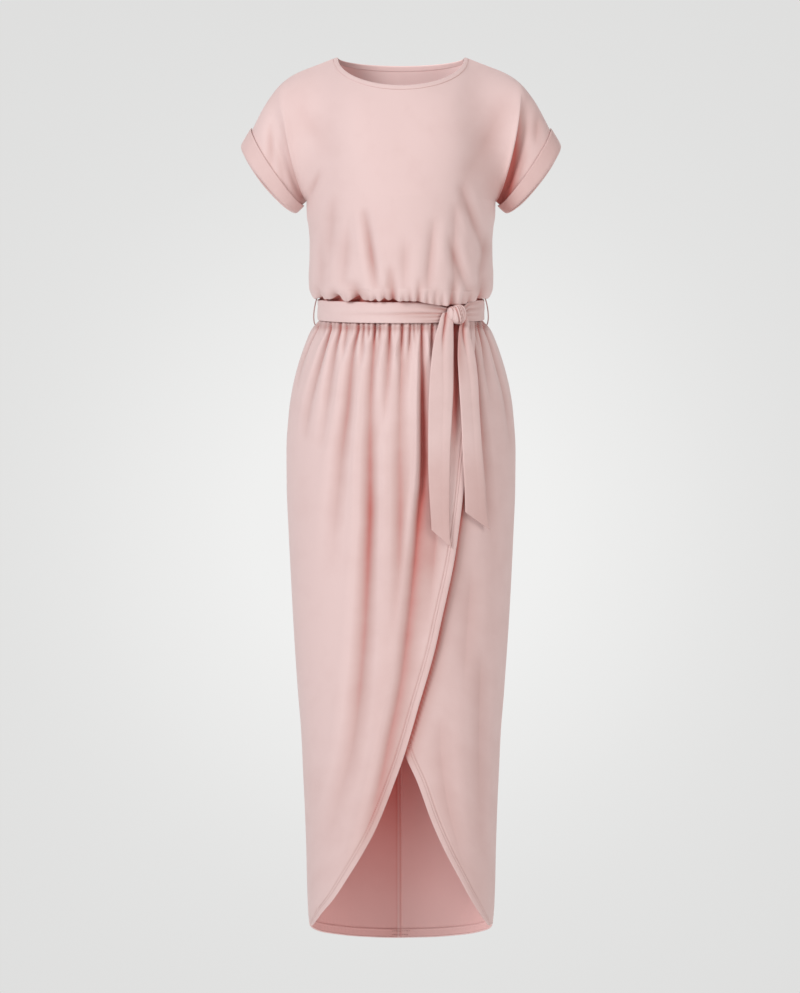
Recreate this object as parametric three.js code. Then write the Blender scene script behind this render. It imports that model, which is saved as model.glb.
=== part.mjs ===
// Maxi wrap dress in jersey: blouson bodice with cut-on short sleeves and turned-up cuffs,
// gathered tulip-wrap skirt, and a self-fabric belt tied in a knot with two free tails.
// It keeps the hollow form it has when it is worn. Millimetres, +Z up, the front faces -Y.
// The origin lies midway between the two points where the neckline meets the shoulder seams.
import * as THREE from 'three';

// ---------- driving sizes ----------
const WALL = 1.4;            // jersey wall
const SEAM_GAP = 0.36;       // space between two pieces along a seam
const BELT_WALL = 2.4;       // belt: two layers of jersey
const BELT_HEIGHT = 30.5;
const WAIST_TILT = 0.106;    // the waist sits lower in front, mm for each mm forward
const HEM_SIDE_Z = -1284.6;  // hem at the side seams
const HEM_BACK_DIP = 35.5;   // the back hem hangs this much lower at the centre
const UNDER_SET_IN = 2.6;    // the under front lies this far inside the over front
const CUFF_WALL = 2.6;
const BAND_WALL = 2.0;

// Bodice rings below the armholes. z is at the side seam.
const BODICE = [
  { z: -213, half: 139.8, front: 122, back: 108, tilt: 0.03 },
  { z: -235, half: 139.4, front: 121.5, back: 107, tilt: 0.04 },
  { z: -252, half: 136.8, front: 120.8, back: 106.3, tilt: 0.05 },
  { z: -275, half: 135.2, front: 120, back: 105.5, tilt: 0.065 },
  { z: -300, half: 135.4, front: 119, back: 105, tilt: 0.085 },
  { z: -322, half: 136.6, front: 119, back: 106, tilt: 0.1 },
  { z: -340, half: 136.2, front: 119, back: 106.5, tilt: 0.106 },
  { z: -351, half: 133, front: 116.5, back: 104, tilt: 0.106 },
  { z: -357.6, half: 128, front: 110.5, back: 99, tilt: 0.106 },
  { z: -355.4, half: 124, front: 105.4, back: 95.8, tilt: 0.106 },
  { z: -356.8, half: 120.5, front: 99, back: 92.5, tilt: 0.106 },
  { z: -373.4, half: 117.5, front: 95, back: 90.5, tilt: 0.106 },
];

// Skirt rings. z is at the side seam.
const SKIRT = [
  { z: -374, half: 117.3, front: 94.8, back: 90.3, tilt: 0.106 },
  { z: -388, half: 119.3, front: 97, back: 92.5, tilt: 0.106 },
  { z: -393, half: 123.5, front: 98.6, back: 96.5, tilt: 0.104 },
  { z: -398, half: 128.5, front: 100.2, back: 101, tilt: 0.102 },
  { z: -406, half: 134, front: 102.6, back: 106, tilt: 0.1 },
  { z: -420, half: 140, front: 105.8, back: 112, tilt: 0.096 },
  { z: -434, half: 145.2, front: 108.4, back: 117, tilt: 0.09 },
  { z: -463, half: 154.2, front: 112.2, back: 126, tilt: 0.08 },
  { z: -493, half: 161.2, front: 114.8, back: 132, tilt: 0.07 },
  { z: -525, half: 165.8, front: 116, back: 135.5, tilt: 0.06 },
  { z: -582, half: 169.5, front: 117, back: 138, tilt: 0.03 },
  { z: -641, half: 169, front: 117.5, back: 137.5, tilt: 0.01 },
  { z: -700, half: 166.4, front: 117, back: 135, tilt: 0 },
  { z: -760, half: 163.4, front: 116, back: 131, tilt: 0 },
  { z: -820, half: 160.2, front: 115, back: 127.5, tilt: 0 },
  { z: -880, half: 156.6, front: 114, back: 124, tilt: 0 },
  { z: -940, half: 152.4, front: 112.5, back: 121, tilt: 0 },
  { z: -1000, half: 147.6, front: 111, back: 118.5, tilt: 0 },
  { z: -1060, half: 144.8, front: 109.5, back: 116.5, tilt: 0 },
  { z: -1115, half: 142.2, front: 108, back: 115, tilt: 0 },
  { z: -1170, half: 140.2, front: 106.5, back: 113.6, tilt: 0 },
  { z: -1220, half: 139, front: 105.3, back: 112.7, tilt: 0 },
  { z: -1258, half: 137.6, front: 104.5, back: 112.2, tilt: 0 },
  { z: -1282, half: 135.2, front: 104, back: 112, tilt: 0 },
];

// Free front edge of the over panel, from the waist down to its corner at the hem.
const OVER_EDGE = [
  { z: -374, x: 106 }, { z: -396.6, x: 108.5 }, { z: -510, x: 103 }, { z: -626.6, x: 92 },
  { z: -691.7, x: 83.9 }, { z: -742.3, x: 76.2 }, { z: -829, x: 57.8 }, { z: -875, x: 47.7 },
  { z: -952.4, x: 25.7 }, { z: -1024.4, x: 4.6 }, { z: -1073.3, x: -13 }, { z: -1132.6, x: -37.3 },
  { z: -1178.3, x: -61.9 }, { z: -1207.5, x: -79.9 }, { z: -1236.9, x: -99 },
  { z: -1259.3, x: -116.5 }, { z: -1282, x: -131 },
];
// Free front edge of the under panel. Above the crossing it is hidden.
const UNDER_EDGE = [
  { z: -374, x: -95 }, { z: -396.6, x: -97.5 }, { z: -510, x: -92 }, { z: -626.6, x: -81 },
  { z: -742.3, x: -65.2 }, { z: -875, x: -36.7 }, { z: -952.4, x: -14.7 }, { z: -1025.5, x: 6.6 },
  { z: -1063.2, x: 23.6 }, { z: -1120.5, x: 44.6 }, { z: -1165.9, x: 65 }, { z: -1204.4, x: 85.5 },
  { z: -1236.8, x: 103.2 }, { z: -1262, x: 118.5 }, { z: -1282, x: 131 },
];

// Gathers and folds of the over panel. The first six numbers are how far across the panel
// the trough runs at each level, side seam 0 and free edge 1. The next six are its depth.
const LEVELS = [-404, -511, -655, -829, -1002, -1175];
const OVER_FOLDS = [
  { name: 'side', at: [0.16, 0.11, 0.11, 0.11, 0.11, 0.11], deep: [3.5, 0, 0, 0, 0, 0], wide: 8 },
  { name: 'hip', at: [0.264, 0.274, 0.27, 0.27, 0.27, 0.27], deep: [4.5, 2, 0, 0, 0, 0], wide: 8.5 },
  { name: 'hip_in', at: [0.33, 0.375, 0.38, 0.38, 0.38, 0.38], deep: [4, 2, 0.5, 0, 0, 0], wide: 8 },
  { name: 'thigh', at: [0.425, 0.478, 0.462, 0.46, 0.46, 0.46], deep: [4.5, 3.6, 1.6, 0.6, 0.4, 0], wide: 9.5 },
  { name: 'long', at: [0.508, 0.576, 0.614, 0.635, 0.636, 0.61], deep: [5, 4.5, 3.6, 2.4, 1.6, 0.8], wide: 10 },
  { name: 'centre_short', at: [0.574, 0.636, 0.67, 0.7, 0.7, 0.7], deep: [4.2, 2.5, 0.6, 0, 0, 0], wide: 7.5 },
  { name: 'centre', at: [0.632, 0.695, 0.725, 0.75, 0.76, 0.76], deep: [4.5, 3.6, 1.8, 0.4, 0, 0], wide: 8.5 },
  { name: 'deep', at: [0.714, 0.781, 0.821, 0.856, 0.885, 0.92], deep: [6, 7.5, 5.6, 3.6, 2.4, 1], wide: 10 },
  { name: 'tail', at: [0.765, 0.85, 0.9, 0.92, 0.94, 0.96], deep: [4, 2.4, 0, 0, 0, 0], wide: 8 },
];
// The same for the right-hand side, over the under panel, its free edge 0 and its side seam 1.
const UNDER_FOLDS = [
  { name: 'by_edge', at: [0.8, 0.76, 0.75, 0.7, 0.6, 0.5], deep: [3.5, 3.4, 2, 1.2, 0.8, 0], wide: 9 },
  { name: 'by_side', at: [0.895, 0.885, 0.88, 0.86, 0.85, 0.8], deep: [3.6, 2.2, 0.8, 1, 1, 0.4], wide: 9 },
];
// Back gathers: ring angle in degrees from the side seam of each back panel, mirrored.
const BACK_FOLDS = [
  { name: 'b1', at: [14, 13, 12, 12, 12, 12], deep: [3, 1.2, 0, 0, 0, 0], wide: 9 },
  { name: 'b2', at: [29, 28, 27, 26, 26, 26], deep: [4, 3.4, 1.8, 1, 0.6, 0.3], wide: 11 },
  { name: 'b3', at: [44, 43, 42, 42, 42, 42], deep: [3.6, 2.2, 0.6, 0, 0, 0], wide: 9 },
  { name: 'b4', at: [59, 58, 57, 56, 55, 55], deep: [4.2, 3.8, 2.6, 1.6, 1, 0.6], wide: 11 },
  { name: 'b5', at: [75, 75, 75, 75, 75, 75], deep: [3.6, 2, 0.5, 0, 0, 0], wide: 9 },
];

// Soft troughs of the bodice front, from a top point to a low point seen from the front.
const BODICE_FOLDS = [
  { name: 'centre', x0: -47.5, z0: -256, x1: -32, z1: -342, deep: 2.4, wide: 12 },
  { name: 'right', x0: 100, z0: -238, x1: 91, z1: -325, deep: 2.6, wide: 13 },
  { name: 'right_in', x0: 42, z0: -292, x1: 35, z1: -345, deep: 2, wide: 10 },
  { name: 'left', x0: -101, z0: -230, x1: -95, z1: -330, deep: 2, wide: 15 },
];
const TUCKS = [-104, -90, -58, -12, 24, 70, 105]; // x of the tucks above the belt

// Neckline rings: half width, reach forward and back, height at the shoulder, front, back.
const NECK_IN = { half: 93.3, front: 75, back: 60, side: -0.6, low: -51.2, rear: -4.6 };
const NECK_OUT = { half: 100.2, front: 80.1, back: 65.4, side: -2.4, low: -59.0, rear: -12 };
const NECK_BODY = { half: 101, front: 80.7, back: 66.2, side: -2.7, low: -59.7, rear: -12.8 };

// Shoulder seam from the neck out to the armhole.
const SHOULDER = [
  { x: 100.8, z: -2.6 }, { x: 117, z: -9.2 }, { x: 134, z: -15.6 }, { x: 150, z: -22 },
  { x: 163, z: -28.4 }, { x: 171, z: -33 }, { x: 176.5, z: -37.5 },
];
// Sleeve rings: overarm point, underarm point, reach forward and back, bow of the ring's
// middle towards the cuff.
const SLEEVE = [
  { name: 'armhole', topX: 176.5, topZ: -37.5, lowX: 139.8, lowZ: -213, front: 52, back: 45, bow: 11 },
  { name: 'fold', topX: 186, topZ: -49.5, lowX: 141, lowZ: -214.4, front: 41, back: 41, bow: 10 },
  { name: 'middle', topX: 204.6, topZ: -79, lowX: 142.6, lowZ: -215.8, front: 43, back: 42.5, bow: 10 },
  { name: 'cuff_top', topX: 219.6, topZ: -108, lowX: 145, lowZ: -218, front: 42, back: 41, bow: 10 },
  { name: 'end', topX: 232, topZ: -128.8, lowX: 154.4, lowZ: -227, front: 40, back: 39, bow: 11 },
];

const COLOUR = { jersey: 0xe2c5c1, belt: 0xdfc0bc, thread: 0xdcb9b5 };

// ---------- small helpers ----------
// Value of one column of a table at a height (or other key), on a smooth curve.
function along(table, key, name, at) {
  const n = table.length;
  const up = table[n - 1][key] > table[0][key] ? 1 : -1;
  const k = (i) => up * table[Math.max(0, Math.min(n - 1, i))][key];
  const v = (i) => table[Math.max(0, Math.min(n - 1, i))][name];
  const a = up * at;
  if (a <= k(0)) return v(0);
  if (a >= k(n - 1)) return v(n - 1);
  let i = 0;
  while (a > k(i + 1)) i++;
  const h = k(i + 1) - k(i);
  const slope = (v(i + 1) - v(i)) / h;
  const before = i > 0 ? (v(i) - v(i - 1)) / (k(i) - k(i - 1)) : slope;
  const after = i < n - 2 ? (v(i + 2) - v(i + 1)) / (k(i + 2) - k(i + 1)) : slope;
  const m0 = before * slope > 0 ? (2 * before * slope) / (before + slope) : 0;
  const m1 = after * slope > 0 ? (2 * after * slope) / (after + slope) : 0;
  const t = (a - k(i)) / h;
  return (2 * t ** 3 - 3 * t ** 2 + 1) * v(i) + (t ** 3 - 2 * t ** 2 + t) * h * m0
    + (3 * t ** 2 - 2 * t ** 3) * v(i + 1) + (t ** 3 - t ** 2) * h * m1;
}
const mix = (a, b, t) => a + (b - a) * t;
const clamp = (v, lo, hi) => Math.max(lo, Math.min(hi, v));
const smooth = (t) => { const s = clamp(t, 0, 1); return s * s * (3 - 2 * s); };
const rad = (d) => (d * Math.PI) / 180;

// Level value of a fold's row.
function level(list, z) {
  if (z >= LEVELS[0]) return list[0];
  for (let i = 0; i < LEVELS.length - 1; i++) {
    if (z >= LEVELS[i + 1]) return mix(list[i], list[i + 1], smooth((z - LEVELS[i]) / (LEVELS[i + 1] - LEVELS[i])));
  }
  return list[list.length - 1];
}

// Closed wall from an open sheet: the sheet is the outer face, the inner face is set in
// along its normals, and the rim is closed. flat(p) gives an axis a rim point must not leave.
function wall(points, faces, thick, flat = () => null) {
  const n = points.length;
  const normals = points.map(() => new THREE.Vector3());
  const ab = new THREE.Vector3();
  const ac = new THREE.Vector3();
  for (const [a, b, c] of faces) {
    ab.subVectors(points[b], points[a]);
    ac.subVectors(points[c], points[a]);
    ab.cross(ac);
    for (const i of [a, b, c]) normals[i].add(ab);
  }
  const all = points.map((p) => p.clone());
  points.forEach((p, i) => {
    const axis = flat(p, i);
    if (axis) normals[i][axis] = 0;
    normals[i].normalize();
    all.push(p.clone().addScaledVector(normals[i], -thick));
  });
  const tris = [];
  const open = new Map();
  for (const [a, b, c] of faces) {
    tris.push([a, b, c], [a + n, c + n, b + n]);
    for (const [s, e] of [[a, b], [b, c], [c, a]]) {
      if (open.has(`${e},${s}`)) open.delete(`${e},${s}`);
      else open.set(`${s},${e}`, [s, e]);
    }
  }
  for (const [s, e] of open.values()) tris.push([e, s, s + n], [e, s + n, e + n]);
  return body(all, tris);
}
function body(points, tris) {
  const geometry = new THREE.BufferGeometry();
  geometry.setAttribute('position', new THREE.Float32BufferAttribute(points.flatMap((p) => [p.x, p.y, p.z]), 3));
  geometry.setIndex(tris.flat());
  geometry.computeVertexNormals();
  return geometry;
}
// Two triangles for each cell of a grid whose points are numbered by id(row, column).
function cells(rows, from, to, id, faces, flip = false) {
  for (let i = rows[0]; i < rows[1]; i++) {
    for (let j = from; j < to; j++) {
      const [a, b, c, d] = [id(i, j), id(i + 1, j), id(i + 1, j + 1), id(i, j + 1)];
      if (flip) faces.push([a, c, b], [a, d, c]);
      else faces.push([a, b, c], [a, c, d]);
    }
  }
}
// Closed ring or bar from a list of equal sections, each a list of points.
function sweep(sections, closed) {
  const m = sections[0].length;
  const points = sections.flat();
  const tris = [];
  const count = closed ? sections.length : sections.length - 1;
  for (let s = 0; s < count; s++) {
    const t = (s + 1) % sections.length;
    for (let k = 0; k < m; k++) {
      const q = (k + 1) % m;
      tris.push([s * m + k, s * m + q, t * m + q], [s * m + k, t * m + q, t * m + k]);
    }
  }
  if (!closed) {
    for (let k = 1; k < m - 1; k++) {
      tris.push([0, k + 1, k]);
      const e = (sections.length - 1) * m;
      tris.push([e, e + k, e + k + 1]);
    }
  }
  return facingOut(body(points, tris));
}
// Turns a closed body's faces out if its volume comes out negative.
function facingOut(geometry) {
  const p = geometry.getAttribute('position');
  const index = geometry.getIndex();
  const [a, b, c] = [new THREE.Vector3(), new THREE.Vector3(), new THREE.Vector3()];
  let volume = 0;
  for (let i = 0; i < index.count; i += 3) {
    a.fromBufferAttribute(p, index.getX(i));
    b.fromBufferAttribute(p, index.getX(i + 1));
    c.fromBufferAttribute(p, index.getX(i + 2));
    volume += a.dot(b.cross(c));
  }
  if (volume < 0) {
    for (let i = 0; i < index.count; i += 3) {
      const t = index.getX(i + 1);
      index.setX(i + 1, index.getX(i + 2));
      index.setX(i + 2, t);
    }
    geometry.computeVertexNormals();
  }
  return geometry;
}

// ---------- ring surfaces ----------
// Point of a ring table: angle 0 faces front, +90 is the +X side, 180 the back.
function ring(table, z, angle, out = 0) {
  const half = along(table, 'z', 'half', z);
  const c = Math.cos(rad(angle));
  const s = Math.sin(rad(angle));
  const depth = along(table, 'z', c > 0 ? 'front' : 'back', z);
  const n = new THREE.Vector2(s / half, -c / depth).normalize();
  const x = half * s + n.x * out;
  const y = -depth * c + n.y * out;
  return new THREE.Vector3(x, y, z + along(table, 'z', 'tilt', z) * y);
}
const edgeAngle = (table, z) => {
  const t = along(table, 'z', 'x', z) / along(SKIRT, 'z', 'half', z);
  return (Math.asin(clamp(t, -0.985, 0.985)) * 180) / Math.PI;
};
const arc = (z, degrees, angle) => {
  const a = along(SKIRT, 'z', 'half', z) * Math.cos(rad(angle));
  const b = along(SKIRT, 'z', 'front', z) * Math.sin(rad(angle));
  return rad(degrees) * Math.hypot(a, b);
};
const underBelt = (z) => smooth((-378 - z) / 14); // folds start from the seam beneath the belt

// How far the folds set the cloth in, at a ring angle and height.
function overFold(z, angle) {
  const edge = edgeAngle(OVER_EDGE, z);
  let d = 0;
  for (const f of OVER_FOLDS) {
    const at = -90 + level(f.at, z) * (edge + 90);
    d += level(f.deep, z) * Math.exp(-((arc(z, angle - at, at) / f.wide) ** 2));
  }
  return d * underBelt(z);
}
function underFold(z, angle) {
  const edge = edgeAngle(UNDER_EDGE, z);
  let d = 0;
  for (const f of UNDER_FOLDS) {
    const at = edge + level(f.at, z) * (90 - edge);
    d += level(f.deep, z) * Math.exp(-((arc(z, angle - at, at) / f.wide) ** 2));
  }
  return d * underBelt(z);
}
function backFold(z, angle) {
  const off = angle > 180 ? 270 - angle : angle - 90;
  let d = 0;
  for (const f of BACK_FOLDS) {
    const at = level(f.at, z);
    d += level(f.deep, z) * Math.exp(-((arc(z, off - at, 90 + at) / f.wide) ** 2));
  }
  return d * underBelt(z);
}
// Height of a back row: the hem dips towards the centre back.
function backPoint(row, angle, out) {
  const p = ring(SKIRT, row.z, angle, out);
  const drop = smooth((-1120 - row.z) / (-1120 - HEM_SIDE_Z + 3));
  p.z -= drop * (HEM_BACK_DIP * clamp(p.y / 112, 0, 1.2) ** 0.9 + 2.6);
  return p;
}

// ---------- skirt panels ----------
const seam = SEAM_GAP / 2;
const SKIRT_ROWS = [-374, -388, -393, -398, -406, -420, -440, -468, -505, -550, -605, -665, -730,
  -795, -860, -920, -975, -1030, -1085, -1135, -1185, -1235, -1282].map((z) => ({ z }));

function skirtOver() {
  // columns at the troughs and at the ridges between them
  const columns = (z) => {
    const t = OVER_FOLDS.map((f) => level(f.at, z));
    const list = [0, t[0] * 0.5, t[0]];
    for (let i = 1; i < t.length; i++) list.push((t[i - 1] + t[i]) / 2, t[i]);
    list.push(mix(t[t.length - 1], 1, 0.5), 1);
    return list;
  };
  const count = columns(-404).length;
  const points = [];
  const rim = [];
  for (const { z } of SKIRT_ROWS) {
    const edge = edgeAngle(OVER_EDGE, z);
    columns(z).forEach((t, j) => {
      const angle = -90 + t * (edge + 90);
      const p = ring(SKIRT, z, angle, -overFold(z, angle));
      if (j === 0) p.y = -seam;
      rim.push(j === 0);
      points.push(p);
    });
  }
  const faces = [];
  cells([0, SKIRT_ROWS.length - 1], 0, count - 1, (i, j) => i * count + j, faces);
  return wall(points, faces, WALL, (p, i) => (rim[i] ? 'y' : null));
}
function skirtUnder() {
  const steps = [0, 0.13, 0.26, 0.38, 0.5, 0.61, 0.7, 0.77, 0.81, 0.85, 0.895, 0.945, 1];
  const points = [];
  const rim = [];
  for (const { z } of SKIRT_ROWS) {
    const edge = edgeAngle(UNDER_EDGE, z);
    const over = edgeAngle(OVER_EDGE, z);
    const byEdge = level(UNDER_FOLDS[0].at, z);
    const bySide = level(UNDER_FOLDS[1].at, z);
    steps.forEach((s, j) => {
      let t = s;
      if (j === 8) t = byEdge;
      else if (j === 9) t = (byEdge + bySide) / 2;
      else if (j === 10) t = bySide;
      else if (j < 8) t = (s / 0.81) * byEdge;
      else if (j === 11) t = (bySide + 1) / 2;
      const angle = edge + t * (90 - edge);
      // well inside the over front where that covers it, and close behind its edge
      const hidden = smooth(arc(z, over - angle, over) / 30);
      const set = UNDER_SET_IN * smooth((90 - angle) / 14) + hidden * 7.6 * Math.min(1, underBelt(z) + 0.18);
      const p = ring(SKIRT, z, angle, -set - underFold(z, angle) * (1 - hidden));
      if (j === steps.length - 1) p.y = -seam;
      rim.push(j === steps.length - 1);
      points.push(p);
    });
  }
  const faces = [];
  cells([0, SKIRT_ROWS.length - 1], 0, steps.length - 1, (i, j) => i * steps.length + j, faces);
  return wall(points, faces, WALL, (p, i) => (rim[i] ? 'y' : null));
}
function skirtBack(side) {
  const rows = SKIRT_ROWS.filter((r, i) => i < 5 || i % 2 === 0 || i > 19);
  const at = [0, 14, 21.5, 29, 44, 59, 75, 83, 90];
  const points = [];
  for (const row of rows) {
    at.forEach((off) => {
      const angle = side > 0 ? 90 + off : 270 - off;
      const p = backPoint(row, angle, -backFold(row.z, angle));
      if (off === 0) p.y = seam;
      if (off === 90) p.x = side * seam;
      points.push(p);
    });
  }
  const faces = [];
  cells([0, rows.length - 1], 0, at.length - 1, (i, j) => i * at.length + j, faces, side < 0);
  return wall(points, faces, WALL, (p, i) => (i % at.length === 0 ? 'y' : i % at.length === at.length - 1 ? 'x' : null));
}

// ---------- bodice ----------
// Ring of the neckline, angle 0 in front.
function neckPoint(n, angle) {
  const c = Math.cos(rad(angle));
  const y = c > 0 ? -n.front * c : -n.back * c;
  const z = c > 0 ? mix(n.side, n.low, c) : mix(n.side, n.rear, -c);
  return new THREE.Vector3(n.half * Math.sin(rad(angle)), y, z);
}
// Point of a sleeve ring: psi 0 on the overarm seam, 180 on the underarm seam.
function sleevePoint(side, row, psi, face, out = 0) {
  const cx = (row.topX + row.lowX) / 2;
  const cz = (row.topZ + row.lowZ) / 2;
  const ax = (row.topX - row.lowX) / 2;
  const az = (row.topZ - row.lowZ) / 2;
  const length = Math.hypot(ax, az);
  const [ux, uz] = [ax / length, az / length];
  const [wx, wz] = [uz, -ux]; // along the sleeve, towards the cuff
  const c = Math.cos(rad(psi));
  const s = Math.sin(rad(psi));
  const depth = face < 0 ? row.front : row.back;
  const n = new THREE.Vector2(c / length, s / depth).normalize();
  const a = length * c + n.x * out;
  const d = depth * s + n.y * out;
  return new THREE.Vector3(side * (cx + ux * a + wx * row.bow * s), face * d, cz + uz * a + wz * row.bow * s);
}
const bezier = (p, q, r, s, t) => {
  const u = 1 - t;
  return new THREE.Vector3().addScaledVector(p, u ** 3).addScaledVector(q, 3 * u * u * t)
    .addScaledVector(r, 3 * u * t * t).addScaledVector(s, t ** 3);
};
// Torso sheet above the underarm: from the neck or shoulder (r 0) to the underarm ring (r 1).
function chest(c, r, face) {
  const side = c < 0 ? -1 : 1;
  const u = Math.abs(c);
  let top;
  const seamZ = (x) => along(SHOULDER, 'x', 'z', x);
  if (u <= 0.5) top = neckPoint(NECK_BODY, face < 0 ? u * 180 : 180 - u * 180);
  else {
    const x = mix(NECK_BODY.half, SLEEVE[0].topX, (u - 0.5) / 0.5);
    top = new THREE.Vector3(x, 0, seamZ(x));
  }
  const angle = face < 0 ? u * 90 : 180 - u * 90;
  const low = ring(BODICE, BODICE[0].z, angle);
  const far = top.distanceTo(low);
  const w = clamp(u / 0.5, 0, 1);
  const v = clamp((u - 0.5) / 0.5, 0, 1);
  const dir = new THREE.Vector3(mix(0, 0.02, w), face * mix(mix(0.42, 0.86, w), 0.5, v), -mix(mix(0.9, 0.5, w), 0.8, v)).normalize();
  const q = top.clone().addScaledVector(dir, far * 0.36);
  const k = low.clone().add(new THREE.Vector3(mix(0, 6, w), -face * mix(3, 0, w), far * 0.36));
  const p = bezier(top, q, k, low, r);
  const a = SLEEVE[0].topX;
  if (u > 0.5) {
    // near the armhole the sheet bends to the sleeve's first ring
    const topE = new THREE.Vector3(a, 0, seamZ(a));
    const lowE = ring(BODICE, BODICE[0].z, 90);
    const farE = topE.distanceTo(lowE);
    const dirE = new THREE.Vector3(0.02, face * 0.5, -0.8).normalize();
    const edge = bezier(topE, topE.clone().addScaledVector(dirE, farE * 0.36),
      lowE.clone().add(new THREE.Vector3(6, 0, farE * 0.36)), lowE, r);
    const target = sleevePoint(1, SLEEVE[0], 180 * r, face);
    p.addScaledVector(target.sub(edge), v * v);
  }
  p.x *= side;
  return p;
}
function bodiceFold(p) {
  let d = 0;
  for (const f of BODICE_FOLDS) {
    const t = clamp((p.z - f.z0) / (f.z1 - f.z0), 0, 1);
    const fade = smooth(1 - Math.abs(t - 0.5) * 1.7) * (p.z < f.z0 + 25 && p.z > f.z1 - 25 ? 1 : 0);
    d += f.deep * fade * Math.exp(-(((p.x - mix(f.x0, f.x1, t)) / f.wide) ** 2));
  }
  return d;
}
function tuck(p) {
  const reach = smooth((-318 - p.z) / 26);
  let d = 0;
  for (const x of TUCKS) d += 3.2 * Math.exp(-(((p.x - x) / 7) ** 2));
  return d * reach;
}
function bodice(face) {
  const columns = face < 0
    ? [-1, -0.9, -0.8, -0.7, -0.6, -0.5, -0.4, -0.3, -0.2, -0.1, 0, 0.1, 0.2, 0.3, 0.4, 0.5, 0.6, 0.7, 0.8, 0.9, 1]
    : [-1, -0.88, -0.75, -0.62, -0.5, -0.4, -0.3, -0.2, -0.1, 0, 0.1, 0.2, 0.3, 0.4, 0.5, 0.62, 0.75, 0.88, 1];
  const upper = [0, 0.1, 0.22, 0.36, 0.5, 0.64, 0.78, 0.9, 1];
  const arm = upper.length - 1;
  const nc = columns.length;
  const points = [];
  const rim = [];
  const put = (p, seamed) => { points.push(p); rim.push(seamed); return points.length - 1; };
  const torso = [];
  upper.forEach((r, i) => {
    torso.push(columns.map((c) => {
      const p = chest(c, r, face);
      const onSeam = (i === 0 && Math.abs(c) >= 0.499) || (i === arm && Math.abs(c) === 1);
      if (onSeam) p.y = face * seam;
      return put(p, onSeam);
    }));
  });
  // rings that turn under at the bottom are told apart by their place in the table
  const rings = face < 0
    ? [1, 2, 2.9, 3.8, 4.75, 5.55, 6.5, 7.5, 8.2, 9, 10, 11] : [1, 2.2, 3.35, 4.55, 5.7, 6.8, 8.2, 9, 10, 11];
  const at = (name, k) => {
    const i = Math.min(BODICE.length - 2, Math.floor(k));
    return mix(BODICE[i][name], BODICE[i + 1][name], k - i);
  };
  rings.forEach((k) => {
    torso.push(columns.map((c) => {
      const angle = face < 0 ? c * 90 : 180 - c * 90;
      const s = Math.sin(rad(angle));
      const q = Math.cos(rad(angle));
      const depth = at(face < 0 ? 'front' : 'back', k);
      const half = at('half', k);
      const n = new THREE.Vector2(s / half, -q / depth).normalize();
      const p = new THREE.Vector3(half * s, -depth * q, 0);
      p.z = at('z', k);
      const set = k < 9.5 ? (face < 0 ? bodiceFold(p) : 0) + tuck(p) * Math.abs(q) ** 0.5 : 0;
      p.x -= n.x * set;
      p.y -= n.y * set;
      p.z += at('tilt', k) * p.y;
      const onSeam = Math.abs(c) === 1;
      if (onSeam) p.y = face * seam;
      return put(p, onSeam);
    }));
  });
  const faces = [];
  const nr = torso.length;
  cells([0, nr - 1], 0, nc - 1, (i, j) => torso[i][j], faces, face > 0);
  for (const side of [-1, 1]) {
    const grid = upper.map((r, i) => {
      const edge = torso[i][side < 0 ? 0 : nc - 1];
      const row = [edge];
      for (let k = 1; k < SLEEVE.length; k++) {
        const p = sleevePoint(side, SLEEVE[k], 180 * r, face);
        const onSeam = i === 0 || i === arm;
        if (onSeam) p.y = face * seam;
        row.push(put(p, onSeam));
      }
      return row;
    });
    cells([0, arm], 0, SLEEVE.length - 1, (i, j) => grid[i][j], faces, (side < 0) !== (face > 0));
  }
  return wall(points, faces, WALL, (p, i) => (rim[i] ? 'y' : null));
}

// ---------- neck band, cuffs, belt ----------
function neckBand() {
  const sections = [];
  for (let k = 0; k < 20; k++) {
    const angle = k * 18;
    const a = neckPoint(NECK_IN, angle);
    const b = neckPoint(NECK_OUT, angle);
    const across = b.clone().sub(a).normalize();
    const ahead = neckPoint(NECK_IN, angle + 18).sub(neckPoint(NECK_IN, angle - 18)).normalize();
    const down = across.clone().cross(ahead).normalize();
    if (down.z > 0) down.negate();
    sections.push([a, b, b.clone().addScaledVector(down, BAND_WALL), a.clone().addScaledVector(down, BAND_WALL)]);
  }
  return sweep(sections, true);
}
function cuff(side) {
  const [top, end] = [SLEEVE[3], SLEEVE[4]];
  const row = (t) => {
    const r = {};
    for (const key of ['topX', 'topZ', 'lowX', 'lowZ', 'front', 'back', 'bow']) r[key] = mix(top[key], end[key], t);
    return r;
  };
  // turned-up cuff: an outer wall from its top edge down past the sleeve end, and a lip inside
  const sections = [];
  for (let k = 0; k < 32; k++) {
    const face = k < 16 ? -1 : 1;
    const psi = k < 16 ? k * 11.25 : (32 - k) * 11.25;
    const at = (t, out) => sleevePoint(side, row(t), psi, face, out);
    sections.push([at(0.06, 0.5), at(0.04, 0.5 + CUFF_WALL), at(1.14, 0.7 + CUFF_WALL), at(1.2, -WALL), at(1.06, -WALL), at(1.06, 0.5)]);
  }
  return sweep(sections, true);
}
const BELT_TOP = -358.6;
function beltPoint(angle, drop, out) {
  const half = 121.3 + out;
  const c = Math.cos(rad(angle));
  const depth = (c > 0 ? 99.8 : 95.4) + out;
  const y = -depth * c;
  return new THREE.Vector3(half * Math.sin(rad(angle)), y, BELT_TOP - drop + WAIST_TILT * y);
}
function beltBand() {
  const sections = [];
  for (let k = 0; k < 40; k++) {
    const a = k * 9;
    sections.push([beltPoint(a, 0, 0), beltPoint(a, 0, BELT_WALL - 0.4), beltPoint(a, BELT_HEIGHT / 2, BELT_WALL),
      beltPoint(a, BELT_HEIGHT, BELT_WALL - 0.4), beltPoint(a, BELT_HEIGHT, 0)]);
  }
  return sweep(sections, true);
}
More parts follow.
